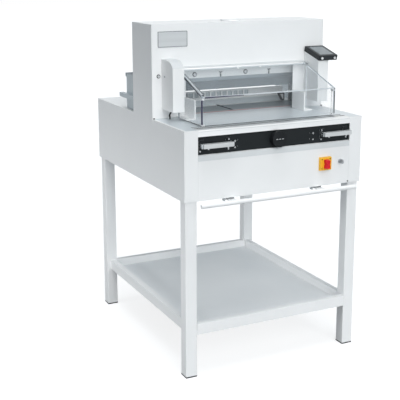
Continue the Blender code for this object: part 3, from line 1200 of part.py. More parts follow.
WHITE = paint("white_powder_coat", (0.80, 0.82, 0.83), 0.45)
OFF_WHITE = paint("off_white_plastic", (0.80, 0.80, 0.78), 0.4)
SHELF_GREY = paint("light_grey_powder_coat", (0.55, 0.59, 0.61), 0.5)
GAUGE_GREY = paint("gauge_grey", (0.50, 0.55, 0.58), 0.5)
STEEL = paint("polished_steel", (0.42, 0.46, 0.49), 0.25, 1)
STEEL_GREY = paint("grey_sheet_steel", (0.48, 0.52, 0.55), 0.45, 0.5)
BLADE_STEEL = paint("blade_steel", (0.60, 0.63, 0.66), 0.2, 1)
CAST_GREY = paint("grey_casting", (0.16, 0.18, 0.20), 0.6)
ALUMINIUM = paint("brushed_aluminium", (0.72, 0.74, 0.75), 0.35, 1)
CHROME = paint("chrome", (0.70, 0.72, 0.74), 0.15, 1)
BLACK = paint("black_panel", (0.014, 0.017, 0.020), 0.4)
RUBBER = paint("black_rubber", (0.02, 0.02, 0.02), 0.7)
RED = paint("red_plastic", (0.68, 0.004, 0.02), 0.35)
RED_STICK = paint("red_cutting_stick", (0.50, 0.03, 0.04), 0.5)
YELLOW = paint("yellow_plastic", (0.90, 0.49, 0.02), 0.4)
CLEAR = paint("clear_polycarbonate", (0.85, 0.90, 0.93), 0.05, 0, 0.25)

make_stand()
make_body()
make_table()
make_housing()
for sign, word in ((-1, "left"), (1, "right")):
    make_post(sign, word)
    make_lay(sign, word)
    make_activator(sign, word)
make_guard()
make_gate()
make_knife()
make_drive()
make_clamp()
make_gauge()
make_rear_guard()
make_knob()
make_switch()
make_key()
make_display()
make_clamping_bar()
make_lead()
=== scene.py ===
import math

import bmesh
import bpy
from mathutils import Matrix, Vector


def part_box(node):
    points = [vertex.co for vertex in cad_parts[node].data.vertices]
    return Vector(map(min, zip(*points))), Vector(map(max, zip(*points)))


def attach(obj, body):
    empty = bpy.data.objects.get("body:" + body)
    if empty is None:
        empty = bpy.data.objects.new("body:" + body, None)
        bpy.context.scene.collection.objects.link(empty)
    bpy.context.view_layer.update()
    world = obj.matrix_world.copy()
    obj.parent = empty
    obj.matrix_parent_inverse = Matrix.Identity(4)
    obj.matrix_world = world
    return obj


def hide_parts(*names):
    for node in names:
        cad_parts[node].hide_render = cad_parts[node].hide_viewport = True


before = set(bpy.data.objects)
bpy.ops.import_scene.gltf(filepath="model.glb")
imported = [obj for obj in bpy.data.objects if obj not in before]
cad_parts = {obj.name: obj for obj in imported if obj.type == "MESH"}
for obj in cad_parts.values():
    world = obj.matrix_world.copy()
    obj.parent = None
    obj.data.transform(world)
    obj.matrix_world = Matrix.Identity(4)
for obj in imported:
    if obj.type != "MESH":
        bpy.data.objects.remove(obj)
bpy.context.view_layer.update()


# Camera, lamps and floor
# The photograph was taken from the machine's left front, a little above its head,
# with a long lens. Soft light falls on the front and the top, and a low fill and a
# low softbox light the left side.
CAMERA_PLACE = (-1.6703, -3.2013, 1.5144)
CAMERA_YAW = 0.4622
CAMERA_DIP = 0.2172
CAMERA_LENS = 80.27
SHIFT_ASIDE, SHIFT_DOWN = -0.02, -0.10
bpy.ops.object.camera_add(location=CAMERA_PLACE,
                          rotation=(math.pi / 2 - CAMERA_DIP, 0, -CAMERA_YAW))
camera = bpy.context.active_object
camera.data.sensor_width = 36
camera.data.lens = CAMERA_LENS
camera.data.shift_x = SHIFT_ASIDE
camera.data.shift_y = SHIFT_DOWN
bpy.context.scene.camera = camera
bpy.context.scene.view_settings.view_transform = "Standard"
SOFTBOX_SPREAD = math.radians(22)


def add_lamp(name, kind, place, aim, strength, size, colour=(1, 1, 1)):
    """A lamp that looks at a point: a far one with soft rays, or an oblong softbox."""
    turn = (Vector(aim) - Vector(place)).to_track_quat("-Z", "Y").to_euler()
    bpy.ops.object.light_add(type=kind, location=place, rotation=turn)
    lamp = bpy.context.active_object
    lamp.name = name
    lamp.visible_camera = False
    lamp.data.energy = strength
    lamp.data.color = colour
    if kind == "SUN":
        lamp.data.angle = size
    else:
        lamp.data.shape = "RECTANGLE"
        lamp.data.size, lamp.data.size_y = size
        lamp.data.spread = SOFTBOX_SPREAD


add_lamp("key_light", "SUN", place=(-0.3, -4.0, 2.3), aim=(0, 0, 0), strength=1.52,
         size=math.radians(40), colour=(1, 0.993, 0.98))
add_lamp("top_light", "SUN", place=(-0.3, -0.6, 4.0), aim=(0, 0, 0), strength=1.24,
         size=math.radians(30))
add_lamp("low_fill", "SUN", place=(-1.6, -4.0, 0.4), aim=(0, 0, 0), strength=0.50,
         size=math.radians(10))
add_lamp("low_left_softbox", "AREA", place=(-5.0, 0, 1.5), aim=(0, 0, 0.3), strength=3.0,
         size=(3.0, 0.3))

STUDIO_LEFT, STUDIO_RIGHT = 0.13, 0.56
STUDIO_TINT = (0.79, 0.915, 1, 1)
FLOOR_GREY = (0.32, 0.33, 0.34, 1)
FLOOR_GLOW = 0.78
studio = bpy.data.worlds.new("white_studio")
bpy.context.scene.world = studio
studio.use_nodes = True
studio_nodes, studio_links = studio.node_tree.nodes, studio.node_tree.links


def seen_rays(nodes, links):
    """1 for what the camera sees straight, in a mirror or through clear sheet, else 0."""
    rays = nodes.new("ShaderNodeLightPath")
    mirrored = nodes.new("ShaderNodeMath")
    mirrored.operation = "MAXIMUM"
    links.new(rays.outputs["Is Camera Ray"], mirrored.inputs[0])
    links.new(rays.outputs["Is Glossy Ray"], mirrored.inputs[1])
    through = nodes.new("ShaderNodeMath")
    through.operation = "MAXIMUM"
    links.new(mirrored.outputs[0], through.inputs[0])
    links.new(rays.outputs["Is Transmission Ray"], through.inputs[1])
    return through.outputs[0]


direction = studio_nodes.new("ShaderNodeTexCoord")
sideways = studio_nodes.new("ShaderNodeSeparateXYZ")
studio_links.new(direction.outputs["Generated"], sideways.inputs["Vector"])
dimmed = studio_nodes.new("ShaderNodeMapRange")
dimmed.inputs["From Min"].default_value = -1.0
dimmed.inputs["To Min"].default_value = STUDIO_LEFT
dimmed.inputs["To Max"].default_value = STUDIO_RIGHT
studio_links.new(sideways.outputs["X"], dimmed.inputs["Value"])
level = studio_nodes.new("ShaderNodeMapRange")
studio_links.new(dimmed.outputs["Result"], level.inputs["To Min"])
seen = seen_rays(studio_nodes, studio_links)
studio_links.new(seen, level.inputs["Value"])
coolness = studio_nodes.new("ShaderNodeValToRGB")
coolness.color_ramp.elements[0].color = STUDIO_TINT
coolness.color_ramp.elements[1].color = (1, 1, 1, 1)
studio_links.new(seen, coolness.inputs["Fac"])
backdrop = studio_nodes["Background"]
studio_links.new(coolness.outputs["Color"], backdrop.inputs["Color"])
studio_links.new(level.outputs["Result"], backdrop.inputs["Strength"])

bpy.ops.object.select_all(action="DESELECT")
bpy.ops.mesh.primitive_plane_add(size=60, location=(0, 0, 0))
floor = bpy.context.active_object
floor.name = "studio_floor"
paper = bpy.data.materials.new("white_floor")
paper.use_nodes = True
paper_nodes, paper_links = paper.node_tree.nodes, paper.node_tree.links
matte = paper_nodes["Principled BSDF"]
matte.inputs["Base Color"].default_value = FLOOR_GREY
matte.inputs["Roughness"].default_value = 0.95
matte.inputs["Specular IOR Level"].default_value = 0
matte.inputs["Emission Color"].default_value = (1, 1, 1, 1)
lift = paper_nodes.new("ShaderNodeMapRange")
lift.inputs["To Max"].default_value = FLOOR_GLOW
paper_links.new(seen_rays(paper_nodes, paper_links), lift.inputs["Value"])
paper_links.new(lift.outputs["Result"], matte.inputs["Emission Strength"])
floor.data.materials.append(paper)


# Legs
# Four square steel tubes with 2 mm walls and rolled corners, sawn square and
# powder coated with the body. They are screwed up into the body's corners.
LEG_WALL = 0.002
LEG_CORNER = 0.003
UP, DOWN = Vector((0, 0, 1)), Vector((0, 0, -1))


def new_finish(name, colour, roughness, metallic=0.0, specular=0.5):
    """A Principled material with the values that are the same all over."""
    made = bpy.data.materials.new(name)
    made.use_nodes = True
    shader = made.node_tree.nodes["Principled BSDF"]
    shader.inputs["Base Color"].default_value = (*colour, 1)
    shader.inputs["Roughness"].default_value = roughness
    shader.inputs["Metallic"].default_value = metallic
    shader.inputs["Specular IOR Level"].default_value = specular
    made.node_tree.nodes.new("ShaderNodeTexCoord")
    return made


def mottle(finish, scale, stretch=(1, 1, 1), detail=3.0):
    """A cloudy pattern fixed to the piece, drawn out along the axes with a small stretch."""
    nodes, links = finish.node_tree.nodes, finish.node_tree.links
    fit = nodes.new("ShaderNodeMapping")
    fit.inputs["Scale"].default_value = stretch
    links.new(nodes["Texture Coordinate"].outputs["Object"], fit.inputs["Vector"])
    cloud = nodes.new("ShaderNodeTexNoise")
    cloud.inputs["Scale"].default_value = scale
    cloud.inputs["Detail"].default_value = detail
    links.new(fit.outputs["Vector"], cloud.inputs["Vector"])
    return cloud.outputs["Fac"]


def tint(finish, dark, light, scale, stretch=(1, 1, 1), detail=3.0):
    """Lets the colour drift between two tones with a cloudy pattern."""
    nodes, links = finish.node_tree.nodes, finish.node_tree.links
    cloud = mottle(finish, scale, stretch, detail)
    tones = nodes.new("ShaderNodeValToRGB")
    tones.color_ramp.elements[0].position = 0.3
    tones.color_ramp.elements[0].color = (*dark, 1)
    tones.color_ramp.elements[1].position = 0.7
    tones.color_ramp.elements[1].color = (*light, 1)
    links.new(cloud, tones.inputs["Fac"])
    links.new(tones.outputs["Color"], nodes["Principled BSDF"].inputs["Base Color"])


def vary(finish, low, high, scale, stretch=(1, 1, 1), detail=3.0):
    """Lets the roughness drift between two numbers with a cloudy pattern."""
    nodes, links = finish.node_tree.nodes, finish.node_tree.links
    cloud = mottle(finish, scale, stretch, detail)
    spread = nodes.new("ShaderNodeMapRange")
    spread.inputs["From Min"].default_value = 0.3
    spread.inputs["From Max"].default_value = 0.7
    spread.inputs["To Min"].default_value = low
    spread.inputs["To Max"].default_value = high
    links.new(cloud, spread.inputs["Value"])
    links.new(spread.outputs["Result"], nodes["Principled BSDF"].inputs["Roughness"])


def grain(finish, height, strength, scale, stretch=(1, 1, 1), detail=3.0):
    """Raises a cloudy pattern from the surface by a height in metres."""
    nodes, links = finish.node_tree.nodes, finish.node_tree.links
    cloud = mottle(finish, scale, stretch, detail)
    bump = nodes.new("ShaderNodeBump")
    bump.inputs["Strength"].default_value = strength
    bump.inputs["Distance"].default_value = height
    links.new(cloud, bump.inputs["Height"])
    links.new(bump.outputs["Normal"], nodes["Principled BSDF"].inputs["Normal"])


def powder_coat(name, dark, light):
    """Satin powder coat: a fine orange-peel grain under a faint cloudiness."""
    coat = new_finish(name, light, 0.42, specular=0.35)
    tint(coat, dark, light, 5.0)
    vary(coat, 0.38, 0.50, 5.0)
    grain(coat, 0.00012, 0.35, 900.0, detail=2.0)
    return coat


WHITE_COAT = powder_coat("white_powder_coat", (0.81, 0.82, 0.825), (0.84, 0.85, 0.855))


def start_block(name, low, high):
    """A block between two corners, open in edit mode with nothing selected."""
    low, high = Vector(low), Vector(high)
    bpy.ops.object.select_all(action="DESELECT")
    bpy.ops.mesh.primitive_cube_add(size=1, location=(low + high) / 2, scale=high - low)
    piece = bpy.context.active_object
    piece.name = name
    piece.data.name = name
    bpy.ops.object.transform_apply(location=True, rotation=True, scale=True)
    bpy.ops.object.mode_set(mode="EDIT")
    bpy.ops.mesh.select_all(action="DESELECT")
    return piece


def take_faces(piece, facing=None, where=None, more=False):
    """Selects the faces that look one way and whose middle passes a test."""
    bpy.ops.mesh.select_mode(type="FACE")
    if not more:
        bpy.ops.mesh.select_all(action="DESELECT")
    shape = bmesh.from_edit_mesh(piece.data)
    for face in shape.faces:
        looks = facing is None or face.normal.dot(facing) > 0.95
        if looks and (where is None or where(face.calc_center_median())):
            face.select_set(True)
    bmesh.update_edit_mesh(piece.data)


def take_edges(piece, along=None, where=None):
    """Selects the edges that run one way and whose middle passes a test."""
    bpy.ops.mesh.select_mode(type="EDGE")
    bpy.ops.mesh.select_all(action="DESELECT")
    shape = bmesh.from_edit_mesh(piece.data)
    for edge in shape.edges:
        ends = [corner.co for corner in edge.verts]
        lies = along is None or abs((ends[1] - ends[0]).normalized().dot(along)) > 0.95
        if lies and (where is None or where((ends[0] + ends[1]) / 2)):
            edge.select_set(True)
    bmesh.update_edit_mesh(piece.data)


def pull(by):
    """Extrudes the selected faces by a vector."""
    bpy.ops.mesh.extrude_region_move(TRANSFORM_OT_translate={"value": by})


def inset(rim, by=None):
    """Draws an outline a rim's width inside the selected faces and pulls what it holds."""
    bpy.ops.mesh.inset(thickness=rim, depth=0)
    if by is not None:
        pull(by)


def bevel(width, steps):
    """Rounds the selected edges."""
    bpy.ops.mesh.bevel(offset=width, segments=steps, affect="EDGES")


def pick_object(piece):
    """Leaves edit mode with this piece alone selected."""
    if bpy.context.mode != "OBJECT":
        bpy.ops.object.mode_set(mode="OBJECT")
    bpy.ops.object.select_all(action="DESELECT")
    piece.select_set(True)
    bpy.context.view_layer.objects.active = piece


def twin_of(piece, name, shift):
    """A copy with its own mesh, moved by a vector."""
    if bpy.context.mode != "OBJECT":
        bpy.ops.object.mode_set(mode="OBJECT")
    twin = bpy.data.objects.new(name, piece.data.copy())
    twin.data.name = name
    bpy.context.scene.collection.objects.link(twin)
    pick_object(twin)
    twin.location = shift
    bpy.ops.object.transform_apply(location=True, rotation=True, scale=True)
    return twin


def fit(piece, body, slot, finish, edge=0.0, node=None, steps=2):
    """Rounds the edges, shades them evenly, gives the finish and fixes the piece to its body."""
    pick_object(piece)
    if edge:
        rounding = piece.modifiers.new("rounded edges", "BEVEL")
        rounding.width = edge
        rounding.segments = steps
        rounding.limit_method = "ANGLE"
        rounding.angle_limit = math.radians(32)
        bpy.ops.object.modifier_apply(modifier=rounding.name)
    bpy.ops.object.shade_smooth_by_angle(angle=math.radians(50))
    evened = piece.modifiers.new("even shading", "WEIGHTED_NORMAL")
    evened.keep_sharp = True
    bpy.ops.object.modifier_apply(modifier=evened.name)
    if not piece.data.materials:
        piece.data.materials.append(finish)
    if node:
        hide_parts(node)
    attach(piece, body)
    return piece


low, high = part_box("leg_front_left")
leg = start_block("leg_tube_front_left", low, high)
take_edges(leg, UP)
bevel(LEG_CORNER, 3)
take_faces(leg, UP)
take_faces(leg, DOWN, more=True)
inset(LEG_WALL)
bpy.ops.mesh.bridge_edge_loops()
for corner in ("front_right", "rear_left", "rear_right"):
    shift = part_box("leg_" + corner)[0] - low
    fit(twin_of(leg, "leg_tube_" + corner, shift), "root", "white_coat", WHITE_COAT,
        node="leg_" + corner)
fit(leg, "root", "white_coat", WHITE_COAT, node="leg_front_left")


# Feet
# A moulded rubber foot closes each leg: a square pad with a hollow tread and
# a plug that is pushed up into the tube.
FOOT_PAD = 0.005
PLUG_INSET = 0.0023
TREAD_EDGE = 0.007
TREAD_DEPTH = 0.0018
RUBBER = new_finish("black_rubber", (0.030, 0.032, 0.034), 0.75, specular=0.25)
tint(RUBBER, (0.022, 0.024, 0.026), (0.042, 0.044, 0.046), 60.0)
grain(RUBBER, 0.00015, 0.5, 700.0)

low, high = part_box("foot_front_left")
foot = start_block("foot_pad_front_left", low, (high.x, high.y, FOOT_PAD))
take_faces(foot, UP)
inset(PLUG_INSET, (0, 0, high.z - FOOT_PAD))
take_faces(foot, DOWN)
inset(TREAD_EDGE, (0, 0, TREAD_DEPTH))
for corner in ("front_right", "rear_left", "rear_right"):
    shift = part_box("foot_" + corner)[0] - low
    fit(twin_of(foot, "foot_pad_" + corner, shift), "root", "black_rubber", RUBBER, 0.0006,
        "foot_" + corner)
fit(foot, "root", "black_rubber", RUBBER, 0.0006, "foot_front_left")


# Shelf
# A tray folded from one sheet, its rim turned over and down and screwed between
# the four legs; its pan is painted a lighter coat, as painted light.
SHEET_EDGE = 0.0012
MERGE = 0.00002


def merged_copy(name, node):
    """A CAD node's mesh as a piece of its own, merged and with its flats made whole."""
    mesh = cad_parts[node].data.copy()
    mesh.name = name
    mesh.materials.clear()
    piece = bpy.data.objects.new(name, mesh)
    bpy.context.scene.collection.objects.link(piece)
    pick_object(piece)
    bpy.ops.mesh.customdata_custom_splitnormals_clear()
    bpy.ops.object.mode_set(mode="EDIT")
    bpy.ops.mesh.select_mode(type="VERT")
    bpy.ops.mesh.select_all(action="SELECT")
    bpy.ops.mesh.remove_doubles(threshold=MERGE)
    bpy.ops.mesh.dissolve_limited(angle_limit=math.radians(1))
    bpy.ops.mesh.select_all(action="DESELECT")
    return piece


def dress(name, node, body, slot, finish, edge):
    """A CAD node's own shape with its edges rounded, in its finish."""
    return fit(merged_copy(name, node), body, slot, finish, edge, node)


def add_finishes(piece, *finishes):
    """Gives a piece several finishes, numbered from 0."""
    for finish in finishes:
        piece.data.materials.append(finish)


def paint(piece, number):
    """Gives the selected faces the piece's finish of that number."""
    piece.active_material_index = number
    bpy.ops.object.material_slot_assign()


PAINTED_LIGHT_PAN_COAT = powder_coat("light_grey_powder_coat", (0.82, 0.845, 0.86), (0.86, 0.88, 0.89))
shelf_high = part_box("shelf_tray")[1]
SHELF_RIM = 0.022
shelf = merged_copy("shelf_pan", "shelf_tray")
add_finishes(shelf, WHITE_COAT, PAINTED_LIGHT_PAN_COAT)
# The pan's floor gets the lighter coat as painted light, against the shade under the body.
take_faces(shelf, UP, lambda spot: spot.z < shelf_high.z - SHELF_RIM)
paint(shelf, 1)
fit(shelf, "root", "shelf_coat", WHITE_COAT, 0.0009, "shelf_tray")


# Body
# Two folded side sheets run up the sides of the head in one piece; between
# them stand the front sheet, with a ledge under the controls, and the rear one.
LEFT, RIGHT = Vector((-1, 0, 0)), Vector((1, 0, 0))
FRONTWARDS, BACKWARDS = Vector((0, -1, 0)), Vector((0, 1, 0))
NOTCH_DEPTH = 0.2765
body_low, body_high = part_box("side_panel_left")[0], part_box("side_panel_right")[1]
body_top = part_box("table_front")[1].z
front_low, front_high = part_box("front_panel")
# Every depth is measured backwards from this face of the front sheet.
FRONT = front_low.y
for side in ("left", "right"):
    dress("side_sheet_" + side, "side_panel_" + side, "root", "white_coat", WHITE_COAT, SHEET_EDGE)
# A small black block stands in each corner notch at the foot of the head, as painted shade of the hole
# there.
for side, x, facing in (("left", body_low.x, LEFT), ("right", body_high.x, RIGHT)):
    spot = Vector((x - facing.x * 0.0040, FRONT + NOTCH_DEPTH, body_top + 0.0026))
    plug = start_block("notch_shade_block_" + side, spot - Vector((0.0026, 0.0034, 0.0023)),
                       spot + Vector((0.0026, 0.0010, 0.0023)))
    take_edges(plug, BACKWARDS)
    bevel(0.0008, 2)
    fit(plug, "root", "black_rubber", RUBBER, 0.0003)
for side in ("front", "rear"):
    dress(side + "_sheet", side + "_panel", "root", "white_coat", WHITE_COAT, 0.0009)

# A strip of paler trim closes the top of the front sheet, and a small black
# plug sits low in the right flange.
TRIM_HEIGHT = 0.022
TRIM_THICK = 0.0008
TRIM = new_finish("pale_trim", (0.665, 0.69, 0.705), 0.4, specular=0.3)
tint(TRIM, (0.65, 0.675, 0.69), (0.68, 0.705, 0.72), 9.0, (1, 1, 4))
grain(TRIM, 0.00008, 0.3, 1200.0)
trim = start_block("front_trim", (front_low.x, FRONT - TRIM_THICK, front_high.z - TRIM_HEIGHT),
                   (front_high.x, FRONT, front_high.z))
take_faces(trim, FRONTWARDS)
inset(0.0006, (0, 0.0003, 0))
fit(trim, "root", "white_coat", TRIM, 0.0002)

STEEL_SCREW = new_finish("plated_screw", (0.42, 0.44, 0.46), 0.28, 1)
vary(STEEL_SCREW, 0.2, 0.38, 500.0)
grain(STEEL_SCREW, 0.00005, 0.4, 900.0, (1, 1, 0.2))


def start_rod(name, start, end, radius, sides=32):
    """A round bar between two points, open in edit mode with nothing selected."""
    start, end = Vector(start), Vector(end)
    run = end - start
    bpy.ops.object.select_all(action="DESELECT")
    bpy.ops.mesh.primitive_cylinder_add(vertices=sides, radius=radius, depth=run.length,
                                        location=(start + end) / 2,
                                        rotation=run.to_track_quat("Z", "Y").to_euler())
    piece = bpy.context.active_object
    piece.name = name
    piece.data.name = name
    bpy.ops.object.transform_apply(location=True, rotation=True, scale=True)
    bpy.ops.object.mode_set(mode="EDIT")
    bpy.ops.mesh.select_all(action="DESELECT")
    return piece


def add_screw(name, seat, facing, radius, body="root", finish=STEEL_SCREW, slot="chrome", height=0.5):
    """A screw head on its seat: a domed disc with a socket for the key."""
    seat, facing = Vector(seat), Vector(facing).normalized()
    head = start_rod(name, seat - facing * 0.0004, seat + facing * radius * height, radius, 24)
    take_faces(head, facing)
    inset(radius * 0.30)
    bpy.ops.transform.translate(value=facing * radius * 0.12)
    inset(radius * 0.28)
    inset(radius * 0.02, -facing * radius * height * 0.6)
    return fit(head, body, slot, finish, radius * 0.06)


PLUG_SPOT = (0.3220, FRONT, 0.6860)
add_screw("front_flange_plug", PLUG_SPOT, FRONTWARDS, 0.0028, finish=RUBBER, slot="black_rubber",
          height=0.35)
rear_low, rear_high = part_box("rear_panel")
SCREW_INSET = 0.014
SCREW_SUNK = 0.0031
for column, x in enumerate((rear_low.x + SCREW_INSET, 0, rear_high.x - SCREW_INSET)):
    for row, z in enumerate((rear_low.z + SCREW_INSET, rear_high.z - SCREW_INSET)):
        add_screw("rear_sheet_screw_%d_%d" % (column, row), (x, rear_high.y - SCREW_SUNK, z), BACKWARDS,
                  0.0045)


# Chassis and drive
# Inside the body a folded pan with two bearers carries the table, and a geared
# motor with its crank pulls the knife down by a flat rod.
ROLLED_SHEET = new_finish("grey_rolled_sheet", (0.46, 0.49, 0.51), 0.42, 0.75)
tint(ROLLED_SHEET, (0.42, 0.45, 0.47), (0.50, 0.53, 0.55), 4.0, (0.3, 1, 1))
vary(ROLLED_SHEET, 0.34, 0.52, 30.0)
grain(ROLLED_SHEET, 0.00006, 0.4, 400.0, (0.1, 1, 1))
CASTING = new_finish("painted_casting", (0.17, 0.19, 0.21), 0.55, specular=0.4)
tint(CASTING, (0.15, 0.17, 0.185), (0.20, 0.22, 0.24), 14.0)
grain(CASTING, 0.0003, 0.6, 260.0, detail=5.0)
MACHINED = new_finish("machined_steel", (0.50, 0.53, 0.55), 0.3, 1)
vary(MACHINED, 0.24, 0.4, 220.0, (1, 0.15, 1))
grain(MACHINED, 0.00005, 0.5, 700.0, (0.12, 1, 1))
for node, name, body, slot, finish, edge in (
        ("chassis", "chassis_pan", "root", "sheet_steel", ROLLED_SHEET, 0.0006),
        ("gearmotor", "geared_motor", "root", "casting", CASTING, 0.002),
        ("crank_arm", "crank", "crank", "table_steel", MACHINED, 0.0005),
        ("pull_rod", "knife_rod", "knife_slider", "table_steel", MACHINED, 0.0005)):
    dress(name, node, body, slot, finish, edge)


# Control panel
# A black plate sits back under the table's nosing between the side flanges.
# Small printed marks stand beside each release bar.
BLACK_PANEL = new_finish("black_panel", (0.0135, 0.0165, 0.0185), 0.5, specular=0.12)
tint(BLACK_PANEL, (0.012, 0.015, 0.017), (0.016, 0.019, 0.021), 12.0)
grain(BLACK_PANEL, 0.00006, 0.4, 1400.0)
panel_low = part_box("control_panel")[0]
dress("control_plate", "control_panel", "root", "black_panel", BLACK_PANEL, 0.0005)

PRINT = new_finish("pale_print", (0.55, 0.57, 0.58), 0.6, specular=0.2)
tint(PRINT, (0.48, 0.50, 0.51), (0.62, 0.64, 0.65), 900.0)
grain(PRINT, 0.00003, 0.4, 1500.0)


def add_mark(name, x, z, across, corners):
    """A printed mark: a flat shape with the given number of corners on the black plate."""
    seat = Vector((x, panel_low.y, z))
    mark = start_rod(name, seat + BACKWARDS * 0.0001, seat + FRONTWARDS * 0.0002, 0.5, corners)
    bpy.ops.mesh.select_all(action="SELECT")
    bpy.ops.transform.resize(value=(across, 1, across), center_override=seat)
    take_faces(mark, FRONTWARDS)
    take_faces(mark, BACKWARDS, more=True)
    inset(across * 0.2)
    bpy.ops.mesh.bridge_edge_loops()
    bpy.ops.mesh.select_all(action="SELECT")
    bpy.ops.mesh.normals_make_consistent(inside=False)
    return fit(mark, "root", "black_panel", PRINT)


MARK_SIDE, TICK_SIDE, TICK_RISE = 0.0085, 0.0022, 0.003
for side, x, tick in (("left", -0.1715, -0.1610), ("right", 0.1628, 0.1477)):
    for row, z, corners in (("upper", 0.8868, 4), ("lower", 0.8632, 3)):
        add_mark("print_%s_%s" % (row, side), x, z, MARK_SIDE, corners)
        add_mark("print_%s_tick_%s" % (row, side), tick, z + TICK_RISE, TICK_SIDE, 8)


# Nosing
# An extruded aluminium profile, brushed along its length, forms the table's
# front edge; three grooves run along its top.
BRUSHED_ALLOY = new_finish("brushed_aluminium", (0.74, 0.76, 0.77), 0.36, 0.85)
tint(BRUSHED_ALLOY, (0.70, 0.72, 0.73), (0.79, 0.81, 0.82), 40.0, (0.03, 1, 1))
vary(BRUSHED_ALLOY, 0.3, 0.46, 90.0, (0.05, 1, 1))
grain(BRUSHED_ALLOY, 0.00005, 0.5, 900.0, (0.02, 1, 1))
GROOVE_SHADE = new_finish("painted_groove_shade", (0.06, 0.065, 0.07), 0.7, specular=0.2)
tint(GROOVE_SHADE, (0.05, 0.055, 0.06), (0.08, 0.085, 0.09), 300.0)
grain(GROOVE_SHADE, 0.00005, 0.4, 900.0)
GROOVE_BAND, GROOVE_DROP = 0.020, 0.003
nosing_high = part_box("front_nosing")[1]
nosing = merged_copy("table_nosing", "front_nosing")
add_finishes(nosing, BRUSHED_ALLOY, GROOVE_SHADE)
# The faces in the three grooves are painted dark as painted shade.
take_faces(nosing, None, lambda spot: nosing_high.z - GROOVE_DROP < spot.z < nosing_high.z - 0.0002
           and spot.y > nosing_high.y - GROOVE_BAND and spot.y < nosing_high.y - 0.001)
paint(nosing, 1)
fit(nosing, "root", "aluminium", BRUSHED_ALLOY, 0.0003, "front_nosing")


# Tables and cutting stick
# The front table is ground and polished steel, the rear one a coated slab with
# a slot for the gauge; the red stick under the knife lies in its own groove.
POLISHED = new_finish("polished_table_steel", (0.60, 0.65, 0.68), 0.34, 0.3)
tint(POLISHED, (0.58, 0.63, 0.66), (0.62, 0.67, 0.70), 3.0)
vary(POLISHED, 0.30, 0.37, 25.0, (0.2, 1, 1))
grain(POLISHED, 0.00001, 0.25, 1100.0, (0.06, 1, 1))
TABLE_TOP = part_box("table_front")[1].z
dress("polished_table", "table_front", "root", "table_steel", POLISHED, 0.0005)
# Under the head the rear table's top is painted dark steel as painted shade.
PAINTED_SHADE_STEEL = new_finish("painted_shade_table_steel", (0.17, 0.215, 0.24), 0.35, 0.5)
tint(PAINTED_SHADE_STEEL, (0.155, 0.20, 0.22), (0.19, 0.235, 0.26), 4.0)
grain(PAINTED_SHADE_STEEL, 0.00001, 0.25, 1100.0, (0.06, 1, 1))
UNDER_HEAD_END = FRONT + 0.474
SLOT_REACH = 0.008
rear_table = merged_copy("coated_table", "table_rear")
add_finishes(rear_table, WHITE_COAT, PAINTED_SHADE_STEEL, BLACK_PANEL)
bpy.ops.mesh.select_all(action="SELECT")
bpy.ops.mesh.bisect(plane_co=(0, UNDER_HEAD_END, 0), plane_no=(0, 1, 0))
take_faces(rear_table, UP, lambda spot: spot.y < UNDER_HEAD_END and spot.z > TABLE_TOP - 0.001)
paint(rear_table, 1)
# The slot's walls are painted black as painted shade.
for facing in (LEFT, RIGHT):
    take_faces(rear_table, facing, lambda spot: abs(spot.x) < SLOT_REACH)
    paint(rear_table, 2)
fit(rear_table, "root", "white_coat", WHITE_COAT, 0.0008, "table_rear")

# Thin dark lines run along the front: one on the profile's face, and two of
# painted groove shade, over its first groove and in the table behind it.
FACE_LINE_HEIGHT = 0.9318
nosing_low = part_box("front_nosing")[0]
for number, (y, z, deep, tall) in enumerate((
        (nosing_low.y - 0.0001, FACE_LINE_HEIGHT, 0.0006, 0.0009),
        (nosing_low.y + 0.0300, TABLE_TOP - 0.0003, 0.0060, 0.0005),
        (nosing_low.y + 0.0590, TABLE_TOP - 0.0003, 0.0060, 0.0005))):
    strip = start_block("nosing_line_%d" % number, (nosing_low.x + 0.002, y, z),
                        (nosing_high.x - 0.002, y + deep, z + tall))
    take_faces(strip, UP if deep > tall else FRONTWARDS)
    inset(0.0002)
    fit(strip, "root", "black_rubber", GROOVE_SHADE if number else ROLLED_SHEET, 0.0001)

STICK = new_finish("red_stick", (0.36, 0.03, 0.04), 0.5)
tint(STICK, (0.30, 0.02, 0.03), (0.42, 0.035, 0.045), 120.0, (0.1, 1, 1))
grain(STICK, 0.0001, 0.4, 600.0)
stick_low, stick_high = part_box("cutting_stick")
stick = start_block("red_cutting_stick", stick_low, stick_high)
take_faces(stick, UP)
inset(0.0045, (0, 0, -0.0003))
fit(stick, "root", "red_stick", STICK, 0.0003, "cutting_stick")

# A scale with ruled ticks is let into the table beside the left side lay.
SCALE_X = -0.2750
SCALE_WIDTH = 0.012
SCALE_START, SCALE_END = 0.056, 0.194
SCALE_STEP = 0.005
SCALE_TICKS = 27
LONG_TICK, SHORT_TICK = 0.008, 0.005
TICK_INSET = 0.0045
scale = start_block("table_scale", (SCALE_X - SCALE_WIDTH / 2, FRONT + SCALE_START, TABLE_TOP - 0.0002),
                    (SCALE_X + SCALE_WIDTH / 2, FRONT + SCALE_END, TABLE_TOP + 0.0003))
take_faces(scale, UP)
inset(0.0012, (0, 0, -0.0002))
fit(scale, "root", "aluminium", BRUSHED_ALLOY, 0.0001)
INK_AND_KEYWAY_SHADE = new_finish("ruled_ink", (0.02, 0.022, 0.025), 0.55, specular=0.2)
tint(INK_AND_KEYWAY_SHADE, (0.015, 0.017, 0.02), (0.035, 0.037, 0.04), 400.0)
grain(INK_AND_KEYWAY_SHADE, 0.00002, 0.3, 1500.0)
ticks = []
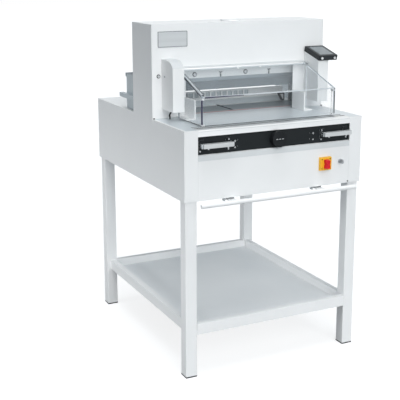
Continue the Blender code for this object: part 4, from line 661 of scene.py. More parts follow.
for step in range(SCALE_TICKS):
    reach = LONG_TICK if step % 2 == 0 else SHORT_TICK
    y = FRONT + 0.060 + step * SCALE_STEP
    tick = start_block("scale_tick_%d" % step, (SCALE_X - TICK_INSET, y, TABLE_TOP + 0.0001),
                       (SCALE_X - TICK_INSET + reach, y + 0.0007, TABLE_TOP + 0.0004))
    bpy.ops.object.mode_set(mode="OBJECT")
    ticks.append(tick)
pick_object(ticks[0])
for tick in ticks:
    tick.select_set(True)
bpy.ops.object.join()
ticks[0].name = "scale_ticks"
fit(ticks[0], "root", "black_panel", INK_AND_KEYWAY_SHADE)


# Gate
# A cast portal stands on the table inside the head and guides the knife; a
# second beam behind it holds the clamp spindle's bearing.
for node, name in (("gate_frame", "cast_gate"), ("rear_beam", "cast_rear_beam")):
    dress(name, node, "root", "casting", CASTING, 0.0015)


# Knife
# The knife carrier is a planed steel bar with two slanting guide slots; the
# ground knife is screwed to its lower edge from the front.
CARRIER_STEEL = new_finish("planed_carrier_steel", (0.76, 0.79, 0.80), 0.45, 0.15)
tint(CARRIER_STEEL, (0.74, 0.77, 0.78), (0.79, 0.82, 0.83), 5.0)
grain(CARRIER_STEEL, 0.00006, 0.4, 500.0, (0.06, 1, 1))
GROUND_BLADE = new_finish("ground_blade_steel", (0.30, 0.34, 0.37), 0.42, 0.8)
tint(GROUND_BLADE, (0.26, 0.30, 0.33), (0.34, 0.38, 0.41), 40.0, (0.1, 1, 1))
grain(GROUND_BLADE, 0.00004, 0.5, 900.0, (1, 1, 0.05))
dress("knife_carrier_bar", "knife_carrier", "knife_slider", "sheet_steel", CARRIER_STEEL, 0.001)
dress("ground_knife", "knife", "knife_slider", "blade_steel", GROUND_BLADE, 0.0002)

CARRIER_SCREW_HEIGHT = 1.0945
SHADE_RING_THICK, SHADE_RING_RADIUS = 0.0015, 0.0095
carrier_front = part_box("knife_carrier")[0].y
GAP_SHADE = new_finish("painted_gap_shade", (0.05, 0.055, 0.06), 0.6, specular=0.2)
tint(GAP_SHADE, (0.04, 0.045, 0.05), (0.07, 0.075, 0.08), 300.0)
grain(GAP_SHADE, 0.00004, 0.3, 900.0)
# A dark ring round each carrier screw is painted shade.
for side, x in (("left", -0.184), ("right", 0.040)):
    seat = Vector((x, carrier_front, CARRIER_SCREW_HEIGHT))
    shade_ring = start_rod("carrier_shade_ring_" + side, seat, seat + FRONTWARDS * SHADE_RING_THICK,
                       SHADE_RING_RADIUS, 32)
    take_faces(shade_ring, FRONTWARDS)
    inset(0.0012, (0, 0.0004, 0))
    fit(shade_ring, "knife_slider", "black_panel", GAP_SHADE, 0.0002)
    add_screw("carrier_screw_" + side, seat + FRONTWARDS * 0.0011, FRONTWARDS, 0.0066,
              "knife_slider", height=0.6)


def swell(by):
    """Pushes each selected face out along its own normal, or in below zero."""
    bpy.ops.mesh.extrude_faces_move(TRANSFORM_OT_shrink_fatten={"value": by})


# Two T-shaped slots, drawn as flat dark tees of painted shade with a stud in each, set how far the
# knife stands out.
T_SPAN, T_STEM = 0.0080, 0.0034
T_FOOT, T_SHOULDER = 1.0805, 1.0975
for side, x in (("left", -0.071), ("right", 0.147)):
    slot_base = (x - T_STEM, carrier_front - 0.0005, T_FOOT)
    slot_shade = start_block("carrier_slot_shade_" + side, slot_base, (x + T_STEM, carrier_front, T_SHOULDER))
    take_faces(slot_shade, UP)
    pull((0, 0, 0.003))
    take_faces(slot_shade, LEFT, lambda spot: spot.z > T_SHOULDER)
    take_faces(slot_shade, RIGHT, lambda spot: spot.z > T_SHOULDER, more=True)
    swell(T_SPAN - T_STEM)
    fit(slot_shade, "knife_slider", "black_panel", GAP_SHADE, 0.0001)
    add_screw("carrier_stud_" + side, (x, carrier_front - 0.0003, 1.0925), FRONTWARDS, 0.0024,
              "knife_slider", height=0.8)


# Clamp
# A cast bar behind the knife is driven down by a threaded spindle in its
# middle and holds the stack while it is cut.
CLAMP_CAST = new_finish("clamp_casting", (0.13, 0.155, 0.175), 0.55, specular=0.25)
tint(CLAMP_CAST, (0.115, 0.14, 0.155), (0.15, 0.175, 0.195), 8.0)
grain(CLAMP_CAST, 0.0002, 0.4, 300.0, detail=4.0)
dress("cast_clamp_bar", "clamp_bar", "clamp", "casting", CLAMP_CAST, 0.0015)


def threaded_rod(name, node, along, pitch, core, body):
    """A spindle with its thread: rings cut around a bar, close enough to read as a screw."""
    low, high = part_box(node)
    middle = (low + high) / 2
    half = abs((high - low).dot(along)) / 2
    radius = ((high - low).length_squared - (2 * half) ** 2) ** 0.5 / 2 / 2 ** 0.5
    start, end = middle - along * half, middle + along * half
    bar = start_rod(name, start, end, radius, 24)
    turns = int(2 * half / pitch) * 2
    take_edges(bar, along)
    bpy.ops.mesh.subdivide(number_cuts=turns - 1)
    shape = bmesh.from_edit_mesh(bar.data)
    for corner in shape.verts:
        ring = round((corner.co - start).dot(along) / (2 * half) * turns)
        if ring % 2 == 1:
            centre = start + along * (corner.co - start).dot(along)
            corner.co = centre + (corner.co - centre) * core
    bmesh.update_edit_mesh(bar.data)
    return fit(bar, body, "table_steel", MACHINED, 0, node)


threaded_rod("clamp_screw_spindle", "clamp_spindle", UP, 0.004, 0.88, "clamp_screw")


# Back gauge
# The gauge is a coated bar with a row of windows, pushed along the rear table
# by a carriage on a threaded spindle with its own small motor.
GAUGE_COAT = powder_coat("gauge_grey_coat", (0.46, 0.52, 0.55), (0.52, 0.57, 0.60))
GAUGE_PAINTED_LIGHT = powder_coat("gauge_painted_light_coat", (0.86, 0.88, 0.89), (0.89, 0.905, 0.91))
GAUGE_PAINTED_SHADE = powder_coat("gauge_painted_shade_coat", (0.46, 0.51, 0.54), (0.50, 0.55, 0.58))
gauge = merged_copy("gauge_bar", "gauge_face")
gauge_low, gauge_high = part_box("gauge_face")
WINDOWS_END = gauge_high.x - 0.1655
POCKET_DEPTH = 0.008
PAINTED_LIGHT_LOW = gauge_high.z - 0.038
add_finishes(gauge, GAUGE_COAT, GAUGE_PAINTED_LIGHT, WHITE_COAT, GAUGE_PAINTED_SHADE, PAINTED_LIGHT_PAN_COAT)
bpy.ops.mesh.select_all(action="SELECT")
bpy.ops.mesh.bisect(plane_co=(WINDOWS_END, 0, 0), plane_no=(1, 0, 0))
bpy.ops.mesh.select_all(action="SELECT")
bpy.ops.mesh.bisect(plane_co=(0, 0, PAINTED_LIGHT_LOW), plane_no=(0, 0, 1))
# The window ribs' faces are pale, brightened as painted light; below them the foot is painted darker as
# painted shade, and the plain right part lighter as painted light.
take_faces(gauge, FRONTWARDS, lambda spot: (spot.x < WINDOWS_END and spot.z > PAINTED_LIGHT_LOW
                                            and spot.y < gauge_low.y + POCKET_DEPTH / 2))
paint(gauge, 1)
take_faces(gauge, FRONTWARDS, lambda spot: spot.z < PAINTED_LIGHT_LOW)
paint(gauge, 3)
take_faces(gauge, FRONTWARDS, lambda spot: spot.z > PAINTED_LIGHT_LOW and spot.x > WINDOWS_END)
paint(gauge, 4)
# The top is painted white as painted highlight.
take_faces(gauge, UP, lambda spot: spot.z > gauge_high.z - 0.001)
paint(gauge, 2)
fit(gauge, "back_gauge", "gauge_coat", GAUGE_COAT, 0.0005, "gauge_face")
dress("gauge_carriage_block", "gauge_carriage", "back_gauge", "casting", CASTING, 0.0008)
threaded_rod("gauge_screw_spindle", "gauge_spindle", BACKWARDS, 0.006, 0.86, "gauge_screw")
dress("gauge_drive_motor", "gauge_motor", "root", "black_panel", BLACK_PANEL, 0.001)

# A thin white strip along the front of the top is a painted highlight.
gauge_highlight = start_block("gauge_top_highlight", (gauge_low.x, gauge_low.y, gauge_high.z - 0.0035),
                        (gauge_high.x, gauge_low.y + 0.0002, gauge_high.z))
take_faces(gauge_highlight, FRONTWARDS)
inset(0.0003, (0, -0.0001, 0))
fit(gauge_highlight, "back_gauge", "white_coat", WHITE_COAT, 0.0001)

# A black bracket that narrows to its foot is fixed to the face of the gauge's
# right end; a coated plate is let into it.
BRACKET_LEFT, BRACKET_RIGHT, BRACKET_DEPTH = 0.2885, 0.3175, 0.4740
angle_low = Vector((BRACKET_LEFT, FRONT + BRACKET_DEPTH, TABLE_TOP + 0.0006))
angle = start_block("gauge_side_bracket", angle_low, angle_low + Vector((0.0290, 0.0161, 0.033)))
take_faces(angle, DOWN)
bpy.ops.transform.resize(value=(0.35, 1, 1), center_override=(BRACKET_RIGHT, 0, 0))
take_faces(angle, FRONTWARDS)
inset(0.0050, (0, 0.001, 0))
add_finishes(angle, BLACK_PANEL, WHITE_COAT)
paint(angle, 1)
fit(angle, "back_gauge", "black_panel", BLACK_PANEL, 0.0005)


# Head
# The front sheet and the lid are one folding, with the wide opening over the
# table; the back sheet is screwed on. All are coated white, the hinge rail pale grey.
HEAD_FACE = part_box("housing_front")[0].y + 0.012
RAIL_COAT_AND_PAINTED_SHADE = powder_coat("pale_grey_coat", (0.60, 0.625, 0.64), (0.64, 0.66, 0.67))
housing = merged_copy("head_front_sheet", "housing_front")
add_finishes(housing, WHITE_COAT, RAIL_COAT_AND_PAINTED_SHADE)
take_faces(housing, None, lambda spot: spot.y < HEAD_FACE - 0.0005)
paint(housing, 1)
rail_top = max(corner.co.z for corner in bmesh.from_edit_mesh(housing.data).verts
               if corner.co.y < HEAD_FACE - 0.0005)
fit(housing, "root", "white_coat", WHITE_COAT, 0.0008, "housing_front")
SEAM_HALF = 0.290
seam = start_block("hinge_rail_seam", (-SEAM_HALF, HEAD_FACE - 0.0006, rail_top - 0.0002),
                   (SEAM_HALF, HEAD_FACE, rail_top + 0.0012))
take_faces(seam, FRONTWARDS)
inset(0.0003)
fit(seam, "root", "sheet_steel", ROLLED_SHEET, 0.0001)
dress("head_back_sheet", "housing_back", "root", "white_coat", WHITE_COAT, 0.0008)
INNER_SCREW_X, LOW_SCREW_HEIGHT = 0.12, 1.10
back_low, back_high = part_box("housing_back")
for column, x in enumerate((back_low.x + SCREW_INSET, -INNER_SCREW_X, INNER_SCREW_X,
                            back_high.x - SCREW_INSET)):
    for row, z in enumerate((LOW_SCREW_HEIGHT, back_high.z - SCREW_INSET)):
        add_screw("head_back_screw_%d_%d" % (column, row), (x, back_high.y, z), BACKWARDS, 0.0045)

# A flat round cap closes the hole over the clamp's spindle.
cap_low, cap_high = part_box("top_cap")
cap_middle = (cap_low + cap_high) / 2
CAP_RADIUS = (cap_high.x - cap_low.x) / 2
LID_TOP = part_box("housing_front")[1].z
cap = start_rod("lid_cap", (cap_middle.x, cap_middle.y, LID_TOP + 0.0002),
                (cap_middle.x, cap_middle.y, cap_high.z), CAP_RADIUS, 64)
take_faces(cap, UP)
inset(CAP_RADIUS * 0.18)
inset(0.001, (0, 0, -0.001))
inset(0.001, (0, 0, 0.0008))
take_faces(cap, DOWN)
inset(0.0102, (0, 0, -0.006))
fit(cap, "root", "white_coat", WHITE_COAT, 0.0007, "top_cap")


# Bare plate and lid lock
# A bare plate of satin metal in a raised rim lies on the head's face; below it
# a round cylinder lock holds the front sheet.
PLATE_METAL = new_finish("satin_plate_metal", (0.54, 0.565, 0.58), 0.4, 0.3)
tint(PLATE_METAL, (0.51, 0.535, 0.55), (0.57, 0.595, 0.61), 60.0, (0.05, 1, 1))
grain(PLATE_METAL, 0.00004, 0.5, 900.0, (0.03, 1, 1))
RIM_METAL = new_finish("dull_rim_metal", (0.26, 0.28, 0.30), 0.35, 0.6)
vary(RIM_METAL, 0.16, 0.3, 200.0)
grain(RIM_METAL, 0.00003, 0.3, 900.0)
PLATE_LOW = Vector((-0.3530, HEAD_FACE - 0.0025, 1.2075))
PLATE_HIGH = Vector((-0.2320, HEAD_FACE, 1.2665))
bare_plate = start_block("bare_name_plate", PLATE_LOW, PLATE_HIGH)
take_edges(bare_plate, BACKWARDS)
bevel(0.0025, 4)
add_finishes(bare_plate, RIM_METAL, PLATE_METAL)
take_faces(bare_plate, FRONTWARDS)
inset(0.0022, (0, 0.0008, 0))
paint(bare_plate, 1)
fit(bare_plate, "root", "chrome", PLATE_METAL, 0.0004)

CHROME = new_finish("chrome", (0.60, 0.63, 0.65), 0.14, 1)
vary(CHROME, 0.08, 0.2, 90.0)
grain(CHROME, 0.00002, 0.25, 500.0)
LOCK_X, LOCK_HEIGHT = -0.3515, 1.100
LOCK_SHADE_RING_RADIUS, LOCK_RADIUS = 0.0074, 0.0048
lock_seat = Vector((LOCK_X, HEAD_FACE, LOCK_HEIGHT))
# A dark ring of painted shade lies round the lock.
lock_shade_ring = start_rod("lid_lock_shade_ring", lock_seat, lock_seat + FRONTWARDS * 0.0012, LOCK_SHADE_RING_RADIUS, 40)
take_faces(lock_shade_ring, FRONTWARDS)
inset(0.0009, (0, 0.0004, 0))
fit(lock_shade_ring, "root", "black_panel", GAP_SHADE, 0.0002)
lid_lock = start_rod("lid_lock", lock_seat, lock_seat + FRONTWARDS * 0.004, LOCK_RADIUS, 40)
take_faces(lid_lock, FRONTWARDS)
inset(0.0012, (0, 0.0012, 0))
inset(0.0004, (0, -0.0008, 0))
fit(lid_lock, "root", "chrome", BRUSHED_ALLOY, 0.0004)
# The keyway is a thin black bar, painted shade of the slot.
keyway_shade = start_block("lid_lock_keyway_shade", lock_seat + Vector((-0.0004, -0.0040, -0.0024)),
                        lock_seat + Vector((0.0004, -0.0034, 0.0024)))
take_edges(keyway_shade, BACKWARDS)
bevel(0.0005, 2)
fit(keyway_shade, "root", "black_panel", INK_AND_KEYWAY_SHADE, 0.0001)


# Posts and lead
# Two hollow covers in front of the head hold the ends of the guard's hinge;
# the left one has a rounded top painted pale grey as painted shade, the right one carries the display.
for side in ("left", "right"):
    post = merged_copy("post_cover_" + side, "post_" + side)
    if side == "left":
        add_finishes(post, WHITE_COAT, RAIL_COAT_AND_PAINTED_SHADE)
        # The left post's rounded top is painted pale grey as painted shade.
        take_faces(post, UP, lambda spot: spot.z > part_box("post_left")[1].z - 0.01)
        for lean in (0.5, 1, 2):
            take_faces(post, (UP + FRONTWARDS * lean).normalized(), more=True)
        paint(post, 1)
    fit(post, "root", "white_coat", WHITE_COAT, 0.0028, "post_" + side, steps=3)
left_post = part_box("post_left")
add_screw("post_side_screw", (left_post[0].x, FRONT + 0.254, 1.1007), LEFT, 0.0035)

# A short lead leaves the left post's underside through a grommet and goes
# into the table; the two ends are fixed.
lead_low, lead_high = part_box("post_lead")
LEAD_RADIUS = 0.003
LEAD_X = -0.315
LEAD_BOW = 0.004
LEAD_TOP_Y, LEAD_FOOT_Y = FRONT + 0.249, FRONT + 0.262
LEAD_END_SHARE = 0.1
lead_route = []
for step in range(21):
    share = step / 20
    inner = min(max((share - LEAD_END_SHARE) / (1 - 2 * LEAD_END_SHARE), 0), 1)
    ease = inner * inner * (3 - 2 * inner)
    bow = LEAD_BOW * math.sin(math.pi * inner) ** 2
    lead_route.append((LEAD_X - bow, LEAD_TOP_Y + (LEAD_FOOT_Y - LEAD_TOP_Y) * ease,
                       lead_high.z + (lead_low.z - lead_high.z) * share))
lead_curve = bpy.data.curves.new("post_lead_cable", "CURVE")
lead_curve.dimensions = "3D"
lead_curve.bevel_depth = LEAD_RADIUS
lead_curve.bevel_resolution = 6
lead_curve.use_fill_caps = True
lead_line = lead_curve.splines.new("POLY")
lead_line.points.add(len(lead_route) - 1)
for spot, point in zip(lead_line.points, lead_route):
    spot.co = (*point, 1)
lead_curve.materials.append(RUBBER)
lead = bpy.data.objects.new("post_lead_cable", lead_curve)
bpy.context.scene.collection.objects.link(lead)
lead_length = sum((Vector(a) - Vector(b)).length for a, b in zip(lead_route, lead_route[1:]))
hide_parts("post_lead")
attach(lead, "root")
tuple(lead_route[0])
GROMMET_RADIUS, GROMMET_LENGTH = 0.0058, 0.0065
grommet = start_rod("post_lead_grommet", Vector(lead_route[0]) + DOWN * GROMMET_LENGTH,
                    lead_route[0], GROMMET_RADIUS, 32)
take_faces(grommet, DOWN)
inset(0.0018, (0, 0, 0.0012))
fit(grommet, "root", "black_rubber", RUBBER, 0.0008)


# Guard
# Clear plastic sheets, 5 mm thick, are joined by chrome corner fittings and swing
# on a bar between the posts. The left sheet's rims are painted dark as painted shade, the others pale
# as painted highlight.
CLEAR_HAZE = (0.70, 0.76, 0.80)


def clear_sheet(name, face_alpha, rim_alpha):
    """Clear plastic: nearly nothing face on, brighter and denser at a glancing view."""
    made = new_finish(name, CLEAR_HAZE, 0.05, specular=0.4)
    nodes, links = made.node_tree.nodes, made.node_tree.links
    glance = nodes.new("ShaderNodeLayerWeight")
    glance.inputs["Blend"].default_value = 0.35
    smear = nodes.new("ShaderNodeMapRange")
    smear.inputs["To Min"].default_value = face_alpha
    smear.inputs["To Max"].default_value = rim_alpha
    links.new(glance.outputs["Facing"], smear.inputs["Value"])
    links.new(smear.outputs["Result"], nodes["Principled BSDF"].inputs["Alpha"])
    vary(made, 0.03, 0.09, 18.0)
    return made


CLEAR = clear_sheet("clear_guard_sheet", 0.02, 0.17)
RIM_SHADE = new_finish("painted_shade_sheet_rim", (0.25, 0.29, 0.33), 0.3)
tint(RIM_SHADE, (0.20, 0.24, 0.28), (0.34, 0.38, 0.42), 300.0, (0.2, 0.2, 1))
grain(RIM_SHADE, 0.00005, 0.4, 900.0)
RIM_HIGHLIGHT = new_finish("painted_highlight_sheet_rim", (0.68, 0.72, 0.75), 0.3)
tint(RIM_HIGHLIGHT, (0.64, 0.68, 0.71), (0.74, 0.78, 0.81), 300.0, (0.2, 0.2, 1))
grain(RIM_HIGHLIGHT, 0.00005, 0.4, 900.0)
VIOLET_EDGE_SHADE = new_finish("painted_violet_edge_shade", (0.035, 0.034, 0.075), 0.4, specular=0.2)
tint(VIOLET_EDGE_SHADE, (0.028, 0.026, 0.060), (0.050, 0.046, 0.095), 120.0)
grain(VIOLET_EDGE_SHADE, 0.00004, 0.4, 700.0)


def clear_panel(name, node, face, body, rim=RIM_SHADE):
    """A clear sheet: its two faces see-through, its rims painted dark as painted shade unless a pale
    painted highlight is given.
    """
    sheet = merged_copy(name, node)
    add_finishes(sheet, CLEAR, rim)
    face = Vector(face).normalized()
    shape = bmesh.from_edit_mesh(sheet.data)
    for side in shape.faces:
        side.material_index = 0 if abs(side.normal.dot(face)) > 0.95 else 1
    bmesh.update_edit_mesh(sheet.data)
    return fit(sheet, body, "clear_sheet", CLEAR, 0, node)


clear_panel("guard_front_sheet", "guard_front", FRONTWARDS, "guard", RIM_HIGHLIGHT)
for side, rim in (("left", RIM_SHADE), ("right", RIM_HIGHLIGHT)):
    clear_panel("guard_side_sheet_" + side, "guard_side_" + side, LEFT, "guard", rim)
hinge_low, hinge_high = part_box("guard_bar")
hinge_axis = (hinge_low + hinge_high) / 2
GUARD_FRONT_TOP = 1.049
GUARD_DEPTH = 0.050
HINGE_RADIUS = 0.0045
front_rim = Vector((0, FRONT + GUARD_DEPTH, GUARD_FRONT_TOP))
slope = Vector((0, hinge_axis.y - 0.0048 - front_rim.y, hinge_axis.z - GUARD_FRONT_TOP)).normalized()
sheet_up = Vector((0, -slope.z, slope.y))
clear_panel("guard_top_sheet", "guard_top", sheet_up, "guard", RIM_HIGHLIGHT)


def take_ends(piece):
    """Selects the two end faces of a bar that lies from left to right."""
    take_faces(piece, LEFT)
    take_faces(piece, RIGHT, more=True)


bar = start_rod("guard_hinge_bar", (hinge_low.x, hinge_axis.y, hinge_axis.z),
                (hinge_high.x, hinge_axis.y, hinge_axis.z), HINGE_RADIUS, 40)
take_ends(bar)
inset(0.0012)
swell(-0.001)
fit(bar, "guard", "aluminium", BRUSHED_ALLOY, 0.0003, "guard_bar")

# Chrome blocks with a screw join the sheets at the front corners, smaller ones
# stand at their feet, and a clip at each end holds the top sheet on the bar.
guard_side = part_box("guard_side_left")
guard_x = -guard_side[0].x
for side, sign in (("left", -1), ("right", 1)):
    outer = sign * guard_x
    ends = sorted((outer - sign * 0.0004, outer - sign * 0.0135))
    block_front = FRONT + 0.0492
    block = start_block("guard_corner_" + side, (ends[0], block_front, GUARD_FRONT_TOP - 0.0150),
                        (ends[1], block_front + 0.015, GUARD_FRONT_TOP - 0.0065))
    take_faces(block, BACKWARDS)
    bpy.ops.transform.resize(value=(0.6, 1, 0.6))
    fit(block, "guard", "chrome", STEEL_SCREW, 0.0012)
    mid_x = (ends[0] + ends[1]) / 2
    add_screw("guard_corner_screw_" + side, (mid_x, block_front, GUARD_FRONT_TOP - 0.0107),
              FRONTWARDS, 0.0032, "guard", CHROME)
    foot_block = start_block("guard_foot_" + side, (ends[0], block_front, guard_side[0].z),
                             (ends[1], block_front + 0.010, guard_side[0].z + 0.008))
    take_faces(foot_block, UP)
    bpy.ops.transform.resize(value=(0.6, 0.7, 1))
    fit(foot_block, "guard", "chrome", CHROME, 0.001)
    arm_spot = Vector((outer - sign * 0.011, hinge_axis.y - 0.010, hinge_axis.z - 0.004))
    arm = start_block("guard_hinge_clip_" + side, arm_spot - Vector((0.0065, 0.007, 0.006)),
                      arm_spot + Vector((0.0065, 0.013, 0.0105)))
    take_faces(arm, FRONTWARDS)
    bpy.ops.transform.resize(value=(1, 1, 0.4))
    fit(arm, "guard", "chrome", CHROME, 0.0015)

# A dark channel with a pale line in it carries the top sheet's left rim.
RAIL_SPAN = (0.012, 0.185)
rail_middle = front_rim + slope * (sum(RAIL_SPAN) / 2) - sheet_up * 0.0034
rail_turn = math.atan2(slope.z, slope.y)
rail_half = (RAIL_SPAN[1] - RAIL_SPAN[0]) / 2
rail_x = -guard_x + 0.0088
rail = start_block("guard_slope_channel", (-0.0083, -rail_half, -0.0018), (0.0083, rail_half, 0.0030))
CHANNEL_GREY = new_finish("channel_grey", (0.055, 0.065, 0.080), 0.4, 0.2)
tint(CHANNEL_GREY, (0.045, 0.055, 0.070), (0.065, 0.075, 0.090), 90.0)
grain(CHANNEL_GREY, 0.00004, 0.4, 700.0)
add_finishes(rail, CHANNEL_GREY, CHROME)
take_faces(rail, UP)
inset(0.0030, (0, 0, -0.0010))
paint(rail, 1)
bpy.ops.mesh.select_all(action="SELECT")
bpy.ops.transform.rotate(value=-rail_turn, orient_axis="X", center_override=(0, 0, 0))
bpy.ops.transform.translate(value=rail_middle + Vector((rail_x, 0, 0)))
fit(rail, "guard", "chrome", CHANNEL_GREY, 0.0004)

# Two white caps sit near the top sheet's rear rim.
WHITE_PLASTIC = new_finish("white_plastic", (0.80, 0.81, 0.81), 0.4)
tint(WHITE_PLASTIC, (0.77, 0.78, 0.78), (0.82, 0.83, 0.83), 200.0)
grain(WHITE_PLASTIC, 0.00005, 0.3, 900.0)
for side, x in (("left", -0.036), ("right", 0.063)):
    seat = front_rim + slope * 0.204 + Vector((x, 0, 0))
    add_screw("guard_cap_" + side, seat, sheet_up, 0.0042, "guard", WHITE_PLASTIC, "white_plastic")

# Dark violet strips of painted shade cover the left front corner and the near part
# of the top rim; black strips of painted shade close the right corner and run along the sheets' feet.
TRIM_DEPTH = 0.0494
guard_foot = guard_side[0].z
trim_foot = guard_foot + 0.006
for side, near, far, deep, drop, finish in (
        ("left", -guard_x - 0.0001, -guard_x + 0.0046, 0.0540, 0.014, VIOLET_EDGE_SHADE),
        ("right", guard_x - 0.0042, guard_x + 0.0001, 0.0530, 0.003, GAP_SHADE)):
    strip = start_block("guard_edge_shade_" + side, (near, FRONT + TRIM_DEPTH, trim_foot),
                        (far, FRONT + deep, GUARD_FRONT_TOP - drop))
    take_edges(strip, UP, lambda spot: spot.y < FRONT + GUARD_DEPTH)
    bevel(0.0008, 2)
    fit(strip, "guard", "black_panel", finish, 0.0002)
inner_line = start_block("guard_seam_right", (guard_x - 0.0056, FRONT + 0.0660, trim_foot),
                         (guard_x - 0.0049, FRONT + 0.0674, GUARD_FRONT_TOP - 0.006))
take_edges(inner_line, UP, lambda spot: spot.x < guard_x - 0.005)
bevel(0.0003, 2)
fit(inner_line, "guard", "black_panel", CHANNEL_GREY)
for name, low, high, facing, taper, finish, edge in (
        ("foot", (-guard_x + 0.014, FRONT + 0.0496, guard_foot),
         (guard_x - 0.014, FRONT + 0.0506, guard_foot + 0.0014),
         FRONTWARDS, (1, 1, 0.5), GAP_SHADE, 0.0001),
        ("side_foot", (-guard_x - 0.0001, FRONT + 0.056, guard_foot),
         (-guard_x + 0.0010, FRONT + 0.200, guard_foot + 0.0016),
         LEFT, (1, 1, 0.5), GAP_SHADE, 0.0001),
        ("top", (-guard_x + 0.014, FRONT + TRIM_DEPTH, GUARD_FRONT_TOP - 0.0068),
         (-0.113, FRONT + 0.0510, GUARD_FRONT_TOP - 0.0021),
         RIGHT, (1, 0.6, 0.4), VIOLET_EDGE_SHADE, 0.0002)):
    strip = start_block("guard_edge_shade_" + name, low, high)
    take_faces(strip, facing)
    bpy.ops.transform.resize(value=taper)
    fit(strip, "guard", "black_panel", finish, edge)


# Side lays
# Two coated angle strips stand on the table at the ends of the opening and
# square the stack.
for side in ("left", "right"):
    dress("side_lay_angle_" + side, "side_lay_" + side, "root", "white_coat", WHITE_COAT, 0.0008)


# Rear guard
# Two sheet-steel cheeks with a rail each stand behind the head and carry a
# clear lid with a turned-down lip.
CHEEK_STEEL = new_finish("cheek_sheet", (0.38, 0.43, 0.46), 0.45, 0.3)
tint(CHEEK_STEEL, (0.35, 0.40, 0.43), (0.41, 0.46, 0.49), 7.0)
grain(CHEEK_STEEL, 0.00006, 0.4, 500.0, (1, 0.1, 1))
for side in ("left", "right"):
    dress("rear_cheek_sheet_" + side, "rear_cheek_" + side, "root", "sheet_steel", CHEEK_STEEL, 0.0004)
# The lid's rims are painted dark as painted shade.
clear_panel("rear_lid_sheet", "rear_hood", UP, "root")
cheek_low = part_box("rear_cheek_left")[0]
for side, x, facing in (("left", cheek_low.x + 0.0182, LEFT), ("right", -cheek_low.x - 0.0182, RIGHT)):
    add_screw("rear_cheek_screw_" + side, (x, FRONT + 0.486, 1.0086), facing, 0.0042, finish=RUBBER,
              slot="black_rubber")


# Jog knob
# A moulded black knob with a fine fluted rim turns on a spindle in the black
# plate; three plain dashes are printed across its face.
KNOB_BLACK = new_finish("knob_plastic", (0.012, 0.014, 0.016), 0.55, specular=0.12)
tint(KNOB_BLACK, (0.010, 0.012, 0.014), (0.015, 0.017, 0.019), 30.0)
grain(KNOB_BLACK, 0.00008, 0.4, 1200.0)
FLUTES, FLUTE_DEPTH = 96, 0.0006
DASH_PITCH = 0.012
knob_low, knob_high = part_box("jog_knob")
knob_middle = (knob_low + knob_high) / 2
KNOB_RADIUS = (knob_high.x - knob_low.x) / 2
knob_back = panel_low.y - 0.0004
knob = start_rod("fluted_knob", (knob_middle.x, knob_back, knob_middle.z),
                 (knob_middle.x, knob_low.y, knob_middle.z), KNOB_RADIUS - FLUTE_DEPTH, FLUTES)
shape = bmesh.from_edit_mesh(knob.data)
for face in shape.faces:
    if abs(face.normal.y) < 0.5:
        away = face.calc_center_median() - knob_middle
        turn = int(math.floor(math.atan2(away.z, away.x) / (2 * math.pi) * FLUTES + 0.001))
        if turn % 2 == 0:
            face.select_set(True)
bmesh.update_edit_mesh(knob.data)
swell(FLUTE_DEPTH)
take_faces(knob, FRONTWARDS, lambda spot: (spot - knob_middle).xz.length < KNOB_RADIUS / 2)
inset(0.0045)
inset(0.0008, (0, 0.0010, 0))
fit(knob, "knob", "black_panel", KNOB_BLACK, 0.0003, "jog_knob")
for number, shift in enumerate((-DASH_PITCH, 0.0, DASH_PITCH)):
    dash = start_block("knob_dash_%d" % number,
                       (knob_middle.x + shift - 0.0042, knob_low.y + 0.0008, knob_middle.z - 0.0012),
                       (knob_middle.x + shift + 0.0042, knob_low.y + 0.0014, knob_middle.z + 0.0012))
    take_edges(dash, BACKWARDS)
    bevel(0.0009, 3)
    fit(dash, "knob", "white_plastic", PRINT, 0.0001)


# Release bars
# Each aluminium bar is hinged between the ears of a chrome bracket; a round
# screw holds the bracket and two more the plate below it.
BAR_ALLOY = new_finish("bar_aluminium", (0.54, 0.56, 0.57), 0.4, 0.6)
tint(BAR_ALLOY, (0.50, 0.52, 0.53), (0.58, 0.60, 0.61), 60.0, (0.05, 1, 1))
grain(BAR_ALLOY, 0.00004, 0.4, 900.0, (0.02, 1, 1))
BRACKET_METAL = new_finish("bracket_plating", (0.50, 0.53, 0.55), 0.25, 0.9)
vary(BRACKET_METAL, 0.2, 0.34, 90.0)
grain(BRACKET_METAL, 0.00003, 0.3, 600.0)
DULL_PLATING = new_finish("dull_bracket_plating", (0.24, 0.26, 0.28), 0.3, 0.7)
vary(DULL_PLATING, 0.24, 0.38, 90.0)
grain(DULL_PLATING, 0.00003, 0.3, 600.0)
for side, sign in (("left", -1), ("right", 1)):
    bracket_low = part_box("activator_bracket_" + side)[0]
    base_front = panel_low.y - 0.0033
    bracket = merged_copy("release_bracket_" + side, "activator_bracket_" + side)
    add_finishes(bracket, BRACKET_METAL, BLACK_PANEL, DULL_PLATING)
    near_end = bracket_low.x + 0.03
    for index, place in ((1, lambda spot: spot.x > near_end), (2, lambda spot: spot.x < near_end)):
        take_faces(bracket, FRONTWARDS, lambda spot: spot.y > base_front - 0.001 and place(spot))
        paint(bracket, index)
    fit(bracket, "root", "chrome", BRACKET_METAL, 0.0005, "activator_bracket_" + side)
    dress("release_bar_" + side, "activator_bar_" + side, side + "_activator", "aluminium",
          BAR_ALLOY, 0.0006)
    for end, x, y, z in (("inner_upper", 0.199, base_front, 0.8962),
                         ("inner_lower", 0.199, panel_low.y, 0.8604),
                         ("outer_lower", 0.3125, panel_low.y, 0.8604)):
        add_screw("release_screw_%s_%s" % (side, end), (sign * x, y, z), FRONTWARDS, 0.0030)


